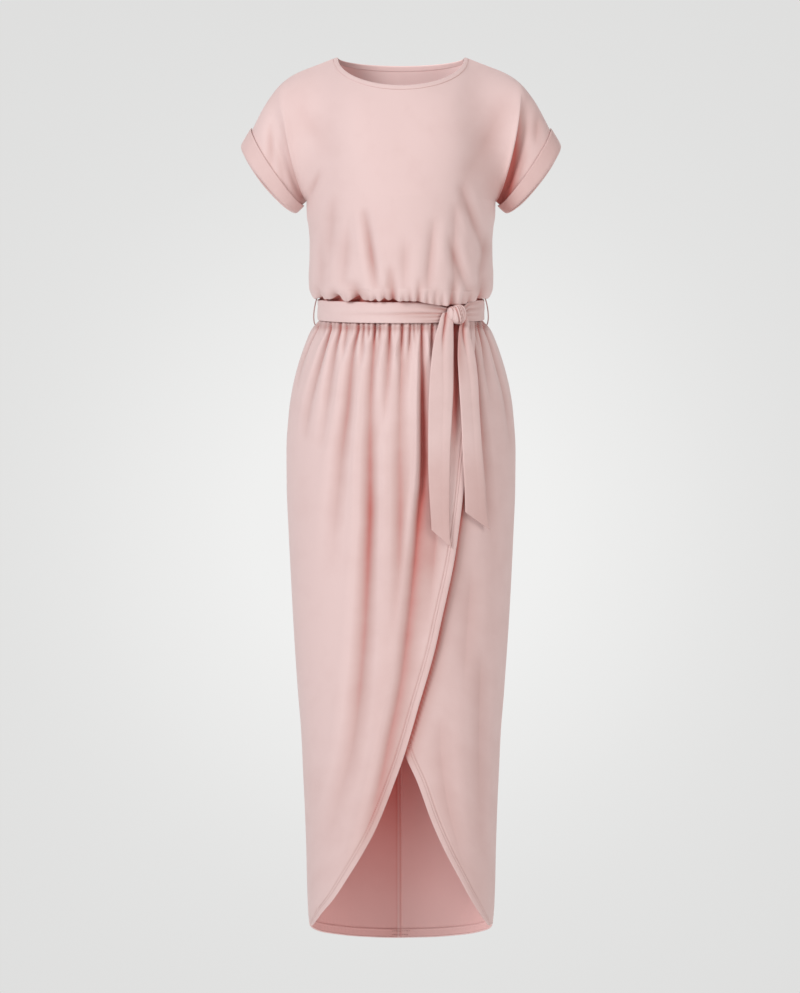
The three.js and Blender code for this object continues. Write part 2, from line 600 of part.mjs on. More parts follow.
// The knot: a rounded lump of wound belt against the band, flat where it lies on it.
const KNOT = { angle: 38.4, wide: 14, high: 13.8, deep: 8.6, drop: 18.2 };
function knot() {
  const centre = beltPoint(KNOT.angle, KNOT.drop, BELT_WALL + 0.5 + KNOT.deep);
  const out = new THREE.Vector3(Math.sin(rad(KNOT.angle)), -Math.cos(rad(KNOT.angle)) * 1.25, 0).normalize();
  const along_ = new THREE.Vector3(-out.y, out.x, 0);
  const geometry = new THREE.SphereGeometry(1, 14, 9);
  const p = geometry.getAttribute('position');
  const v = new THREE.Vector3();
  for (let i = 0; i < p.count; i++) {
    v.fromBufferAttribute(p, i);
    const squash = (t) => Math.sign(t) * Math.abs(t) ** 0.8;
    const q = centre.clone().addScaledVector(along_, squash(v.x) * KNOT.wide)
      .addScaledVector(out, Math.max(-0.86, squash(v.z)) * KNOT.deep);
    q.z += squash(v.y) * KNOT.high;
    p.setXYZ(i, q.x, q.y, q.z);
  }
  geometry.deleteAttribute('normal');
  geometry.deleteAttribute('uv');
  return geometry;
}
// Tails: rows down the tail with its left and right edge. They hang just clear of the skirt.
const TAIL_LEFT = [
  { z: -402.5, left: 54.6, right: 71.8, out: 4.5 }, { z: -420, left: 48.4, right: 73.4, out: 4 },
  { z: -441, left: 44.2, right: 74, out: 3.6 }, { z: -492, left: 39.8, right: 73.6, out: 3.2 },
  { z: -540, left: 38.4, right: 71.8, out: 3 }, { z: -595, left: 38.4, right: 69.6, out: 3 },
  { z: -655, left: 40.4, right: 68.4, out: 3.2 }, { z: -698, left: 42.9, right: 68.4, out: 3.4 },
  { z: -722, left: 66, right: 69.8, out: 3.6 },
];
const TAIL_RIGHT = [
  { z: -402.5, left: 84.4, right: 93, out: 5.5 }, { z: -420, left: 82.6, right: 98.6, out: 5 },
  { z: -441, left: 81, right: 104.4, out: 4.6 }, { z: -492, left: 81.6, right: 109.2, out: 4.2 },
  { z: -544, left: 84.6, right: 112.4, out: 4 }, { z: -600, left: 87, right: 115.8, out: 4 },
  { z: -647, left: 89.6, right: 119, out: 4 }, { z: -673.3, left: 90.4, right: 121.2, out: 4 },
  { z: -697, left: 121, right: 124.2, out: 4 },
];
function tail(rows) {
  const points = [];
  const across = 3;
  rows.forEach((row) => {
    for (let j = 0; j <= across; j++) {
      const x = mix(row.left, row.right, j / across);
      const half = along(SKIRT, 'z', 'half', row.z);
      const angle = (Math.asin(clamp(x / half, -0.99, 0.99)) * 180) / Math.PI;
      const p = ring(SKIRT, row.z, angle, row.out + BELT_WALL);
      p.z = row.z;
      points.push(p);
    }
  });
  const faces = [];
  cells([0, rows.length - 1], 0, across, (i, j) => i * (across + 1) + j, faces);
  return wall(points, faces, BELT_WALL);
}
// Thread loops that carry the belt at the side seams.
const LOOP = [
  { x: 125.4, z: -360.2 }, { x: 127.2, z: -366 }, { x: 128.6, z: -375 }, { x: 129, z: -384 }, { x: 128.4, z: -391.6 },
];
function loop(side) {
  const sections = LOOP.map((row, i) => {
    const a = LOOP[Math.max(0, i - 1)];
    const b = LOOP[Math.min(LOOP.length - 1, i + 1)];
    const d = new THREE.Vector2(b.x - a.x, b.z - a.z).normalize();
    const list = [];
    for (let k = 0; k < 6; k++) {
      const [c, s] = [Math.cos(rad(k * 60)), Math.sin(rad(k * 60))];
      list.push(new THREE.Vector3(side * (row.x - d.y * c), s, row.z + d.x * c));
    }
    return list;
  });
  return sweep(sections, false);
}

// ---------- assembly ----------
const dress = new THREE.Group();
function add(name, geometry, colour = COLOUR.jersey, roughness = 0.88) {
  const mesh = new THREE.Mesh(geometry, new THREE.MeshStandardMaterial({ color: colour, roughness, metalness: 0 }));
  mesh.name = name;
  dress.add(mesh);
}
add('bodice_front', bodice(-1));
add('bodice_back', bodice(1));
add('neck_band', neckBand());
add('cuff_left', cuff(-1));
add('cuff_right', cuff(1));
add('skirt_front_over', skirtOver());
add('skirt_front_under', skirtUnder());
add('skirt_back_left', skirtBack(-1));
add('skirt_back_right', skirtBack(1));
add('belt_band', beltBand(), COLOUR.belt);
add('belt_knot', knot(), COLOUR.belt);
add('belt_tail_left', tail(TAIL_LEFT), COLOUR.belt);
add('belt_tail_right', tail(TAIL_RIGHT), COLOUR.belt);
add('belt_loop_left', loop(-1), COLOUR.thread, 0.7);
add('belt_loop_right', loop(1), COLOUR.thread, 0.7);

export default dress;
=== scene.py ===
# Maxi wrap dress in jersey, filled out as it is worn. Lengths in the tables are millimetres.
import math
import bpy
import numpy as np
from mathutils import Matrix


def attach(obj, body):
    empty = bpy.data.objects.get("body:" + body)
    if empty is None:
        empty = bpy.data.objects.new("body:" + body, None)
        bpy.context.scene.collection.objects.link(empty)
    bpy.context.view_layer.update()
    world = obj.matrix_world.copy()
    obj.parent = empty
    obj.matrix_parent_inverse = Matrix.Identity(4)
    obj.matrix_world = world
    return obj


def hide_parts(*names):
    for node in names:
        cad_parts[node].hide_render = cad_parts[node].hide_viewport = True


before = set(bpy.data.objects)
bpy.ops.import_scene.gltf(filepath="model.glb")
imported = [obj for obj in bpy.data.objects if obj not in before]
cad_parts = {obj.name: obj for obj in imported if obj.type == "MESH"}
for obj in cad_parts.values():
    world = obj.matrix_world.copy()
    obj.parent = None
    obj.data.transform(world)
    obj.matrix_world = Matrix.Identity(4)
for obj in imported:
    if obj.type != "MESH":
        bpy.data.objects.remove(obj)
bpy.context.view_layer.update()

MM = 0.001

# ------------------------------------------------------------------ sizes
WALL = 1.3            # jersey
HEM = 12.0            # turned hem, to its stitch line
HEM_ROW = 8.4         # the second of its twin stitch rows
HEM_WALL = 2.2
SEAM = 0.05           # each side of a seam
EYE = 4500.0          # the camera's distance and height
EYE_Z = -650.5
PIXEL = 1.48          # mm in a pixel of the frame at the seam plane


def seen(u, v, y):
    """Place of a pixel of the frame on the plane y, in mm."""
    f = (EYE + y) / EYE
    return (u - 400) * PIXEL * f, EYE_Z + (496.5 - v) * PIXEL * f


def table(names, *rows):
    cols = list(zip(*rows))
    return {n: np.array(c, float) for n, c in zip(names.split(), cols)}


BODICE = table("z half front back tilt",
    (-213, 139.8, 122, 108, .03), (-235, 139.4, 121.5, 107, .04), (-252, 136.8, 120.8, 106.3, .05),
    (-275, 135.2, 120, 105.5, .065), (-300, 135.4, 119, 105, .085), (-322, 136.6, 119, 106, .1),
    (-340, 136.2, 119, 106.5, .106), (-351, 133, 116.5, 104, .106), (-357.6, 128, 110.5, 99, .106),
    (-355.4, 124, 105.4, 95.8, .106), (-356.8, 120.5, 99, 92.5, .106), (-373.4, 117.5, 95, 90.5, .106))
SKIRT = table("z half front back tilt",
    (-374, 117.3, 94.8, 90.3, .106), (-388, 119.3, 97, 92.5, .106), (-393, 123.5, 98.6, 96.5, .104),
    (-398, 128.5, 100.2, 101, .102), (-406, 134, 102.6, 106, .1), (-420, 140, 105.8, 112, .096),
    (-434, 145.2, 108.4, 117, .09), (-463, 154.2, 112.2, 126, .08), (-493, 161.2, 114.8, 132, .07),
    (-525, 165.8, 116, 135.5, .06), (-582, 169.5, 117, 138, .03), (-641, 169, 117.5, 137.5, .01),
    (-700, 166.4, 117, 135, 0), (-760, 163.4, 116, 131, 0), (-820, 160.2, 115, 127.5, 0),
    (-880, 156.6, 114, 124, 0), (-940, 152.4, 112.5, 121, 0), (-1000, 147.6, 111, 118.5, 0),
    (-1060, 144.8, 109.5, 116.5, 0), (-1115, 142.2, 108, 115, 0), (-1170, 140.2, 106.5, 113.6, 0),
    (-1220, 139, 105.3, 112.7, 0), (-1258, 137.6, 104.5, 112.2, 0), (-1282, 135.2, 104, 112, 0))
OVER_EDGE = table("z x",
    (-374, 106), (-396.6, 108.5), (-510, 103), (-626.6, 92), (-691.7, 83.9), (-742.3, 76.2),
    (-829, 57.8), (-875, 47.7), (-952.4, 25.7), (-1024.4, 4.6), (-1073.3, -13), (-1132.6, -37.3),
    (-1178.3, -61.9), (-1207.5, -79.9), (-1236.9, -99), (-1259.3, -116.5), (-1282, -131))
UNDER_EDGE = table("z x",
    (-374, -95), (-396.6, -97.5), (-510, -92), (-626.6, -81), (-742.3, -65.2), (-875, -36.7),
    (-952.4, -14.7), (-1025.5, 6.6), (-1063.2, 23.6), (-1120.5, 44.6), (-1165.9, 65),
    (-1204.4, 85.5), (-1236.8, 103.2), (-1262, 118.5), (-1282, 131))
HEM_SIDE_Z = -1284.6
HEM_BACK_DIP = 35.5

# Folds of the skirt fronts: each is a trough that runs down through (z, x, depth, width).
OVER_FOLDS = [
    [(-400, -123, 2.6, 5), (-428, -137, 2.4, 6), (-457, -147, 1.6, 8), (-500, -155, 0, 9)],
    [(-400, -104, 4.2, 5), (-430, -114, 4.4, 6), (-459, -122, 3.8, 7), (-510, -134, 2.4, 9), (-575, -143, 0, 11)],
    [(-400, -90, 3.6, 4.5), (-430, -97, 3.8, 5.5), (-460, -102, 3.2, 7), (-510, -109, 2.2, 9), (-585, -117, 0, 11)],
    [(-400, -80, 2.8, 3.6), (-430, -84, 1.8, 5), (-458, -87, 0, 6)],
    [(-400, -63, 4.2, 4.5), (-430, -70, 4.4, 5.5), (-460, -74, 4.8, 7), (-511, -78, 4.8, 8.5), (-583, -87, 3.6, 11), (-656, -94, 2, 13), (-760, -101, 0, 16)],
    [(-400, -55, 3.2, 3.6), (-430, -57, 2.4, 4.5), (-460, -60, 1.4, 6), (-490, -62, 0, 7)],
    [(-400, -47, 2.8, 3.4), (-428, -46, 0, 4.5)],
    [(-400, -38.5, 5.6, 4.2), (-430, -41, 5.2, 5), (-461, -43, 5, 6.5), (-511, -45, 4.8, 8), (-583, -46, 5.4, 10), (-656, -46, 5.6, 11), (-742, -49, 5.2, 12), (-829, -53, 4.8, 13), (-916, -60, 4.2, 14), (-1003, -70, 3, 15), (-1091, -91, 1, 16), (-1180, -108, 0, 16)],
    [(-400, -31, 3.2, 3.4), (-430, -33.5, 2.2, 4.5), (-458, -35, 0, 6)],
    [(-400, -16.5, 4.8, 4.2), (-430, -17.5, 4.8, 5), (-461, -19, 4.2, 6.5), (-511, -23, 2.8, 8), (-575, -27, 0, 10)],
    [(-400, 1.6, 4.8, 4.2), (-430, .6, 4.8, 5), (-461, 0, 4.6, 6.5), (-511, -1, 4, 8), (-583, -2, 3.4, 10), (-656, -1, 3.4, 12), (-740, -2, 2.8, 13), (-830, -8, 1.4, 14), (-900, -12, 0, 14)],
    [(-400, 13.5, 3.8, 3.6), (-431, 11.6, 3.4, 4.6), (-461, 10, 1.8, 6), (-495, 10, 0, 7)],
    [(-400, 19, 2.8, 3.2), (-426, 20, 0, 4)],
    [(-400, 30, 6, 4.4), (-430, 30, 8, 5), (-461, 31, 10, 6), (-511, 31.5, 12.5, 7.2), (-583, 32, 13, 7.8), (-630, 30.5, 11.5, 9), (-665, 27, 9.5, 10.5), (-742, 21, 7.6, 12), (-829, 12, 6.4, 13), (-915, 1, 5.8, 13.5), (-1002, -17, 5.6, 14), (-1060, -29, 5.2, 14), (-1110, -41, 3.6, 15), (-1190, -66, 0, 14)],
    [(-400, 46, 4.4, 4.4), (-431, 46, 4, 5), (-470, 48, 3, 7), (-560, 52, 2.4, 9), (-640, 53, 3.4, 11), (-720, 50, 3.4, 12), (-790, 44, 1.8, 12), (-860, 36, 0, 12)],
    [(-400, 62, 4, 4.5), (-440, 62, 3.4, 6), (-520, 60, 1.6, 9), (-600, 58, 0, 10)],
    [(-400, 78, 4.4, 4.2), (-440, 81, 4.8, 5), (-500, 82, 4, 6.5), (-570, 80, 2.4, 8), (-660, 74, 0, 10)],
    [(-400, 92, 3.4, 4), (-450, 93, 2.4, 6), (-520, 92, 0, 8)],
]
# Short creases between them, right under the belt: place, depth, length.
OVER_CREASES = [
    (-117, 1.6, 22), (-109, 2.4, 26), (-96, 1.8, 20), (-87, 2.6, 24), (-74.6, 3, 26), (-69, 1.6, 16), (-59, 1.8, 18), (-51, 1.6, 14), (-43, 1.6, 16),
    (-25, 2, 18), (-8.5, 2, 20), (-2.5, 1.4, 12), (7, 2, 16), (24.6, 3.2, 26), (35, 1.8, 16), (39.6, 3, 28), (51, 2.2, 18), (56, 2, 20),
]
UNDER_CREASES = [(94, 2.4, 30), (99.5, 3.4, 44), (104, 2.2, 24), (108.5, 3.6, 50), (112, 1.8, 20), (116, 3.4, 46), (121.5, 2.4, 30)]
UNDER_FOLDS = [
    [(-400, 103.5, 4.2, 5.6), (-430, 106.5, 4.6, 5.6), (-459, 109.5, 4.6, 6.4), (-510, 116, 4, 7.5), (-583, 124, 3.2, 9.5), (-656, 129, 1.8, 12), (-745, 137, 0, 14)],
    [(-400, 112, 2.4, 3.2), (-426, 115, 0, 4)],
    [(-400, 117, 3.6, 4.8), (-431, 124.5, 3.4, 5.2), (-460, 127, 2.4, 7), (-520, 134, 0, 8)],
    [(-400, 126, 4, 6), (-428, 136.5, 4.2, 6.5), (-457, 144.5, 3.2, 7), (-509, 156, 2.2, 8), (-590, 164, 0, 10)],
    [(-860, 121, 0, 14), (-925, 118, 1.6, 15), (-1005, 117, 1.5, 15), (-1120, 118, .6, 14), (-1200, 120, 0, 14)],
    [(-740, 104, 0, 16), (-800, 101, 1.6, 17), (-870, 96, 1.4, 17), (-960, 92, 0, 16)],
    [(-960, 60, 0, 13), (-1010, 58, 1.3, 14), (-1080, 66, 1.4, 15), (-1150, 82, 1, 14), (-1220, 104, 0, 12)],
]
# Back folds: (z, degrees from the side seam, depth, width), one list for each half.
BACK_FOLDS_RIGHT = [
    [(-400, 12, 3, 4.5), (-450, 12, 2, 7), (-520, 12, 0, 9)],
    [(-400, 21, 3.4, 4.5), (-440, 21, 2.6, 6), (-500, 20, 0, 9)],
    [(-400, 30, 4.6, 5), (-460, 29, 4.4, 7.5), (-560, 28, 3.4, 10), (-700, 27, 2, 13), (-900, 26, 1, 15), (-1080, 26, 0, 15)],
    [(-400, 38, 3, 4), (-440, 38, 1.8, 6), (-480, 38, 0, 8)],
    [(-400, 46, 4.2, 5), (-470, 45, 3.4, 8), (-580, 44, 1.6, 11), (-700, 44, 0, 14)],
    [(-400, 54, 3.2, 4), (-445, 54, 2.4, 6), (-500, 53, 0, 8)],
    [(-400, 62, 5, 5), (-470, 61, 5.2, 8), (-580, 60, 4.4, 10), (-740, 58, 2.8, 14), (-920, 57, 1.6, 16), (-1100, 57, .8, 16), (-1200, 57, 0, 16)],
    [(-400, 70, 3, 4), (-440, 70, 1.8, 6), (-485, 70, 0, 8)],
    [(-400, 78, 4.4, 5), (-460, 78, 3.6, 7), (-560, 78, 1.8, 10), (-680, 78, 0, 12)],
]
BACK_FOLDS_LEFT = [
    [(-400, 10, 3, 4.5), (-445, 10, 2.2, 7), (-500, 10, 0, 9)],
    [(-400, 18, 4, 5), (-460, 18, 3.4, 8), (-560, 17, 1.8, 11), (-680, 17, 0, 13)],
    [(-400, 27, 3, 4), (-440, 27, 2.2, 6), (-495, 27, 0, 8)],
    [(-400, 36, 4.6, 5), (-465, 35.5, 4.8, 7.5), (-580, 34, 3.8, 10), (-740, 33, 2.2, 14), (-930, 32, 1, 16), (-1090, 32, 0, 16)],
    [(-400, 44.5, 3, 4), (-440, 44, 1.8, 6), (-490, 44, 0, 8)],
    [(-400, 52, 4.2, 5), (-460, 52, 3.4, 7.5), (-570, 51, 1.4, 10), (-670, 51, 0, 12)],
    [(-400, 60, 3.2, 4), (-440, 60, 2, 6), (-485, 60, 0, 8)],
    [(-400, 68, 5, 5), (-470, 67.5, 4.8, 8), (-590, 66, 3.8, 11), (-760, 65, 2.4, 14), (-960, 64, 1.4, 16), (-1150, 64, 0, 16)],
    [(-400, 81, 3.6, 4.5), (-450, 81, 2.4, 7), (-540, 81, 0, 9)],
]

NECK_IN = dict(half=93.3, front=75, back=60, side=-0.6, low=-51.2, rear=-4.6)
NECK_OUT = dict(half=100.2, front=80.1, back=65.4, side=-2.4, low=-59.0, rear=-12)
NECK_BODY = dict(half=100.5, front=80.35, back=65.7, side=-2.5, low=-59.3, rear=-12.3)
SHOULDER = table("x z", (100.5, -2.5), (117, -9.2), (134, -15.6), (150, -22), (163, -28.4), (171, -33), (176.5, -37.5))
SLEEVE = table("topX topZ lowX lowZ front back bow",
    (176.5, -37.5, 139.8, -213, 52, 45, 11), (186, -49.5, 141, -214.4, 41, 41, 10),
    (204.6, -79, 142.6, -215.8, 43, 42.5, 10), (219.6, -108, 145, -218, 42, 41, 10),
    (232, -128.8, 154.4, -227, 40, 39, 11))
BELT_TOP = -358.6
BELT_HEIGHT = 30.5
WAIST_TILT = 0.106


# ------------------------------------------------------------------ small helpers
def along(xs, ys, q):
    """Smooth curve through a table that never overshoots it."""
    xs, ys, q = np.asarray(xs, float), np.asarray(ys, float), np.asarray(q, float)
    if xs[-1] < xs[0]:
        xs, q = -xs, -q
    h = np.diff(xs)
    s = np.diff(ys) / h
    m = np.zeros(len(xs))
    a, b = s[:-1], s[1:]
    both = a * b > 0
    m[1:-1] = np.where(both, 2 * a * b / np.where(both, a + b, 1), 0)
    m[0], m[-1] = s[0], s[-1]
    i = np.clip(np.searchsorted(xs, q, side="right") - 1, 0, len(xs) - 2)
    t = np.clip((q - xs[i]) / h[i], 0, 1)
    return ((2 * t**3 - 3 * t**2 + 1) * ys[i] + (t**3 - 2 * t**2 + t) * h[i] * m[i]
            + (3 * t**2 - 2 * t**3) * ys[i + 1] + (t**3 - t**2) * h[i] * m[i + 1])


def col(tab, name, q, key="z"):
    return along(tab[key], tab[name], q)


def smooth(t):
    s = np.clip(t, 0, 1)
    return s * s * (3 - 2 * s)


def mix(a, b, t):
    return a + (b - a) * t


def noise(seed, x, y, scale):
    """Gentle hills without a grid look: a few turned waves, always the same for a seed."""
    r = np.random.RandomState(seed)
    out = 0
    for k in range(5):
        a = r.uniform(0, 2 * math.pi)
        f = (0.6 + 0.35 * k) / scale
        out = out + np.sin((x * math.cos(a) + y * math.sin(a)) * f * 2 * math.pi + r.uniform(0, 6.3)) / (1 + 0.6 * k)
    return out / 2.4


def ring(tab, z, deg, out=0.0):
    """Point of a ring table, angle 0 in front, 90 on +X."""
    z, deg = np.broadcast_arrays(np.asarray(z, float), np.asarray(deg, float))
    c, s = np.cos(np.radians(deg)), np.sin(np.radians(deg))
    half = col(tab, "half", z)
    depth = np.where(c > 0, col(tab, "front", z), col(tab, "back", z))
    nx, ny = s / half, -c / depth
    n = np.hypot(nx, ny)
    x = half * s + nx / n * out
    y = -depth * c + ny / n * out
    return np.stack([x, y, z + col(tab, "tilt", z) * y], -1)


def fold_field(folds, z, x, deg=None, by_angle=False):
    """How far the troughs set the cloth in, and how deep in a fold each point is."""
    half, front = col(SKIRT, "half", z), col(SKIRT, "front", z)
    here = np.arcsin(np.clip(x / half, -.999, .999)) if deg is None else np.radians(deg)
    depth = np.zeros_like(here)
    for rows in folds:
        zs = [r[0] for r in rows]
        if zs[0] < -405:  # starts somewhere down the skirt
            d = along(zs, [r[2] for r in rows], z) * (z <= zs[0]) * (z >= zs[-1])
        else:
            d = along(zs, [r[2] for r in rows], z) * (z >= zs[-1])
        w = along(zs, [r[3] for r in rows], z) * along([-460, -430, -400, -374], [1, .86, .55, .42], z)
        p = along(zs, [r[1] for r in rows], z)
        mid = np.radians(p) if by_angle else np.arcsin(np.clip(p / half, -.995, .995))
        r = np.hypot(half * np.cos(mid), front * np.sin(mid))
        if by_angle:
            r = np.hypot(half * np.sin(mid), col(SKIRT, "back", z) * np.cos(mid))
        q = (here - mid) * r / w
        if not by_angle and max(t[2] for t in rows) > 10:  # the deepest one folds over from one side
            q = np.where(q < 0, q / .62, q / 1.3)
        q = np.abs(q)
        d = d * (1 if by_angle else along([10, 12], [1.34, 1], max(t[2] for t in rows)))
        depth = depth + d * (np.exp(-q ** 1.35) - .22 * np.exp(-((q - 2.1) / .9) ** 2))
    return depth


def creases(rows, z, x):
    """Narrow creases that the belt draws in, longest where they are deepest."""
    d = np.zeros_like(z)
    for place, deep, long in rows:
        t = np.clip((-386 - z) / (long * 1.6), 0, 1)
        lean = place * (1 + .09 * np.clip((-386 - z) / 60, 0, 1.4))
        d += deep * (1 - t) ** 1.3 * np.exp(-np.abs((x - lean) / (1.5 + 1.6 * t)) ** 1.5)
    return d


# ------------------------------------------------------------------ mesh building
def vertex_normals(P, quads):
    n = np.zeros_like(P)
    d1 = P[quads[:, 2]] - P[quads[:, 0]]
    d2 = P[quads[:, 3]] - P[quads[:, 1]]
    f = np.cross(d1, d2)
    for k in range(4):
        np.add.at(n, quads[:, k], f)
    return n / np.maximum(np.linalg.norm(n, axis=1, keepdims=True), 1e-12)


def grid_quads(R, C, base=0, wrap=False):
    i, j = np.meshgrid(np.arange(R - 1), np.arange(C if wrap else C - 1), indexing="ij")
    k = (j + 1) % C
    return (base + np.stack([i * C + j, (i + 1) * C + j, (i + 1) * C + k, i * C + k], -1)).reshape(-1, 4)


def build(name, P, quads, uv=None, attrs=None, sharp=None):
    """A mesh object from points in mm."""
    me = bpy.data.meshes.new(name)
    quads = np.asarray(quads, np.int32)
    me.vertices.add(len(P))
    me.vertices.foreach_set("co", (np.asarray(P) * MM).astype(np.float32).ravel())
    me.loops.add(quads.size)
    me.loops.foreach_set("vertex_index", quads.ravel())
    me.polygons.add(len(quads))
    me.polygons.foreach_set("loop_start", np.arange(0, quads.size, quads.shape[1], dtype=np.int32))
    me.update(calc_edges=True)
    me.polygons.foreach_set("use_smooth", np.ones(len(quads), bool))
    if uv is not None:
        layer = me.uv_layers.new(name="cloth")
        layer.data.foreach_set("uv", (np.asarray(uv)[quads.ravel()] * MM).astype(np.float32).ravel())
    for key, values in (attrs or {}).items():
        a = me.attributes.new(key, "FLOAT", "POINT")
        a.data.foreach_set("value", np.asarray(values, np.float32))
    if sharp is not None and len(sharp):
        n = len(me.edges)
        ev = np.empty(n * 2, np.int32)
        me.edges.foreach_get("vertices", ev)
        ev = np.sort(ev.reshape(-1, 2), 1)
        want = np.sort(np.asarray(sharp), 1)
        size = len(P) + 1
        flag = np.isin(ev[:, 0].astype(np.int64) * size + ev[:, 1], want[:, 0].astype(np.int64) * size + want[:, 1])
        a = me.attributes.new("sharp_edge", "BOOLEAN", "EDGE")
        a.data.foreach_set("value", flag)
    me.validate()
    ob = bpy.data.objects.new(name, me)
    bpy.context.scene.collection.objects.link(ob)
    return ob


def rim_edges(quads):
    """Edges used once, in the order their face has them."""
    e = np.concatenate([quads[:, [k, (k + 1) % 4]] for k in range(4)])
    size = int(quads.max()) + 1
    key = e[:, 0].astype(np.int64) * size + e[:, 1]
    back = e[:, 1].astype(np.int64) * size + e[:, 0]
    return e[~np.isin(key, back)]


def wall(name, P, quads, thick, uv, attrs=None, flat=None):
    """Closed wall: P is the outer face. flat is a list of (point numbers, axis) that keep
    the inner rim in the seam's plane."""
    n = vertex_normals(P, quads)
    for ids, axis in flat or []:
        n[ids, axis] = 0
        n[ids] /= np.linalg.norm(n[ids], axis=1, keepdims=True)
    inner = P - n * np.broadcast_to(np.asarray(thick, float), (len(P),))[:, None]
    N = len(P)
    rim = rim_edges(quads)
    sides = np.stack([rim[:, 1], rim[:, 0], rim[:, 0] + N, rim[:, 1] + N], 1)
    allq = np.concatenate([quads, quads[:, ::-1] + N, sides])
    sharp = np.concatenate([rim, rim + N])
    both = {k: np.concatenate([v, v]) for k, v in (attrs or {}).items()}
    both["inside"] = np.concatenate([np.zeros(N), np.ones(N)])
    return build(name, np.concatenate([P, inner]), allq, np.concatenate([uv, uv]), both, sharp)


def loft(name, sections, closed, uv_step=None, attrs=None):
    """Closed ring or capped bar of equal closed sections: array (S, M, 3)."""
    S, M, _ = sections.shape
    P = sections.reshape(-1, 3)
    i, j = np.meshgrid(np.arange(S if closed else S - 1), np.arange(M), indexing="ij")
    i2, j2 = (i + 1) % S, (j + 1) % M
    q = np.stack([i * M + j, i * M + j2, i2 * M + j2, i2 * M + j], -1).reshape(-1, 4)
    step = np.linalg.norm(np.diff(sections.mean(1), axis=0), axis=1)
    u = np.concatenate([[0], np.cumsum(step)])
    around = np.linalg.norm(np.diff(sections[0], axis=0, append=sections[0][:1]), axis=1)
    v = np.concatenate([[0], np.cumsum(around)[:-1]])
    uv = np.stack(np.meshgrid(v, u), -1).reshape(-1, 2)
    if not closed:
        # close both ends with a fan of quads onto a centre point
        c0, c1 = sections[0].mean(0), sections[-1].mean(0)
        P = np.concatenate([P, [c0, c1]])
        uv = np.concatenate([uv, [[0, 0], [0, u[-1]]]])
        a, b = len(P) - 2, len(P) - 1
        caps = []
        for k in range(0, M, 2):
            caps.append([a, (k + 2) % M, (k + 1) % M, k])
            e = (S - 1) * M
            caps.append([b, e + k, e + (k + 1) % M, e + (k + 2) % M])
        q = np.concatenate([q, np.array(caps)])
    # faces out
    tri = P[q[:, 0]], P[q[:, 1]], P[q[:, 2]], P[q[:, 3]]
    vol = np.einsum("ij,ij->i", tri[0], np.cross(tri[1], tri[2])).sum() + np.einsum("ij,ij->i", tri[0], np.cross(tri[2], tri[3])).sum()
    if vol < 0:
        q = q[:, ::-1]
    att = {k: np.concatenate([np.asarray(x).ravel(), [0, 0]]) if not closed else np.asarray(x).ravel() for k, x in (attrs or {}).items()}
    return build(name, P, q, uv, att)


def join(name, objs):
    bpy.ops.object.select_all(action="DESELECT")
    for o in objs:
        o.select_set(True)
    bpy.context.view_layer.objects.active = objs[0]
    bpy.ops.object.join()
    objs[0].name = name
    return objs[0]


def stitches(name, path, normal, length=2.6, gap=0.7, radius=0.28, lift=0.1):
    """A row of short thread stitches along a path of points, lying on the cloth."""
    path = np.asarray(path, float)
    d = np.concatenate([[0], np.cumsum(np.linalg.norm(np.diff(path, axis=0), axis=1))])
    total = d[-1]
    starts = np.arange(gap, total - length, length + gap)
    ring_n, part = 5, 4
    at = np.linspace(0, 1, part)
    fat = np.array([.35, 1, 1, .35])
    sink = np.array([-.55, .35, .35, -.55])
    P, Q, base = [], [], 0
    for s in starts:
        q = np.stack([np.interp(s + at * length, d, path[:, k]) for k in range(3)], 1)
        n = np.stack([np.interp(s + at * length, d, normal[:, k]) for k in range(3)], 1)
        n /= np.linalg.norm(n, axis=1, keepdims=True)
        t = q[-1] - q[0]
        t /= np.linalg.norm(t) + 1e-9
        b = np.cross(n, t)
        for k in range(part):
            ang = np.arange(ring_n) / ring_n * 2 * math.pi
            r = radius * fat[k]
            c = q[k] + n[k] * (lift + sink[k] * radius)
            P.append(c + np.outer(np.cos(ang) * r, n[k]) + np.outer(np.sin(ang) * r, b[k]))
        for k in range(part - 1):
            for m in range(ring_n):
                m2 = (m + 1) % ring_n
                Q.append([base + k * ring_n + m, base + k * ring_n + m2, base + (k + 1) * ring_n + m2, base + (k + 1) * ring_n + m])
        base += part * ring_n
    P = np.concatenate(P)
    return build(name, P, np.array(Q), np.zeros((len(P), 2)), {"fold": np.full(len(P), .25), "inside": np.zeros(len(P))})


# ------------------------------------------------------------------ materials
def nodes_of(mat):
    mat.use_nodes = True
    nt = mat.node_tree
    nt.nodes.clear()
    return nt, nt.nodes, nt.links


# painted shade colour of the inner face, a dark red in place of light bouncing inside the dress
INNER_SHADE = (0.60, 0.062, 0.042)


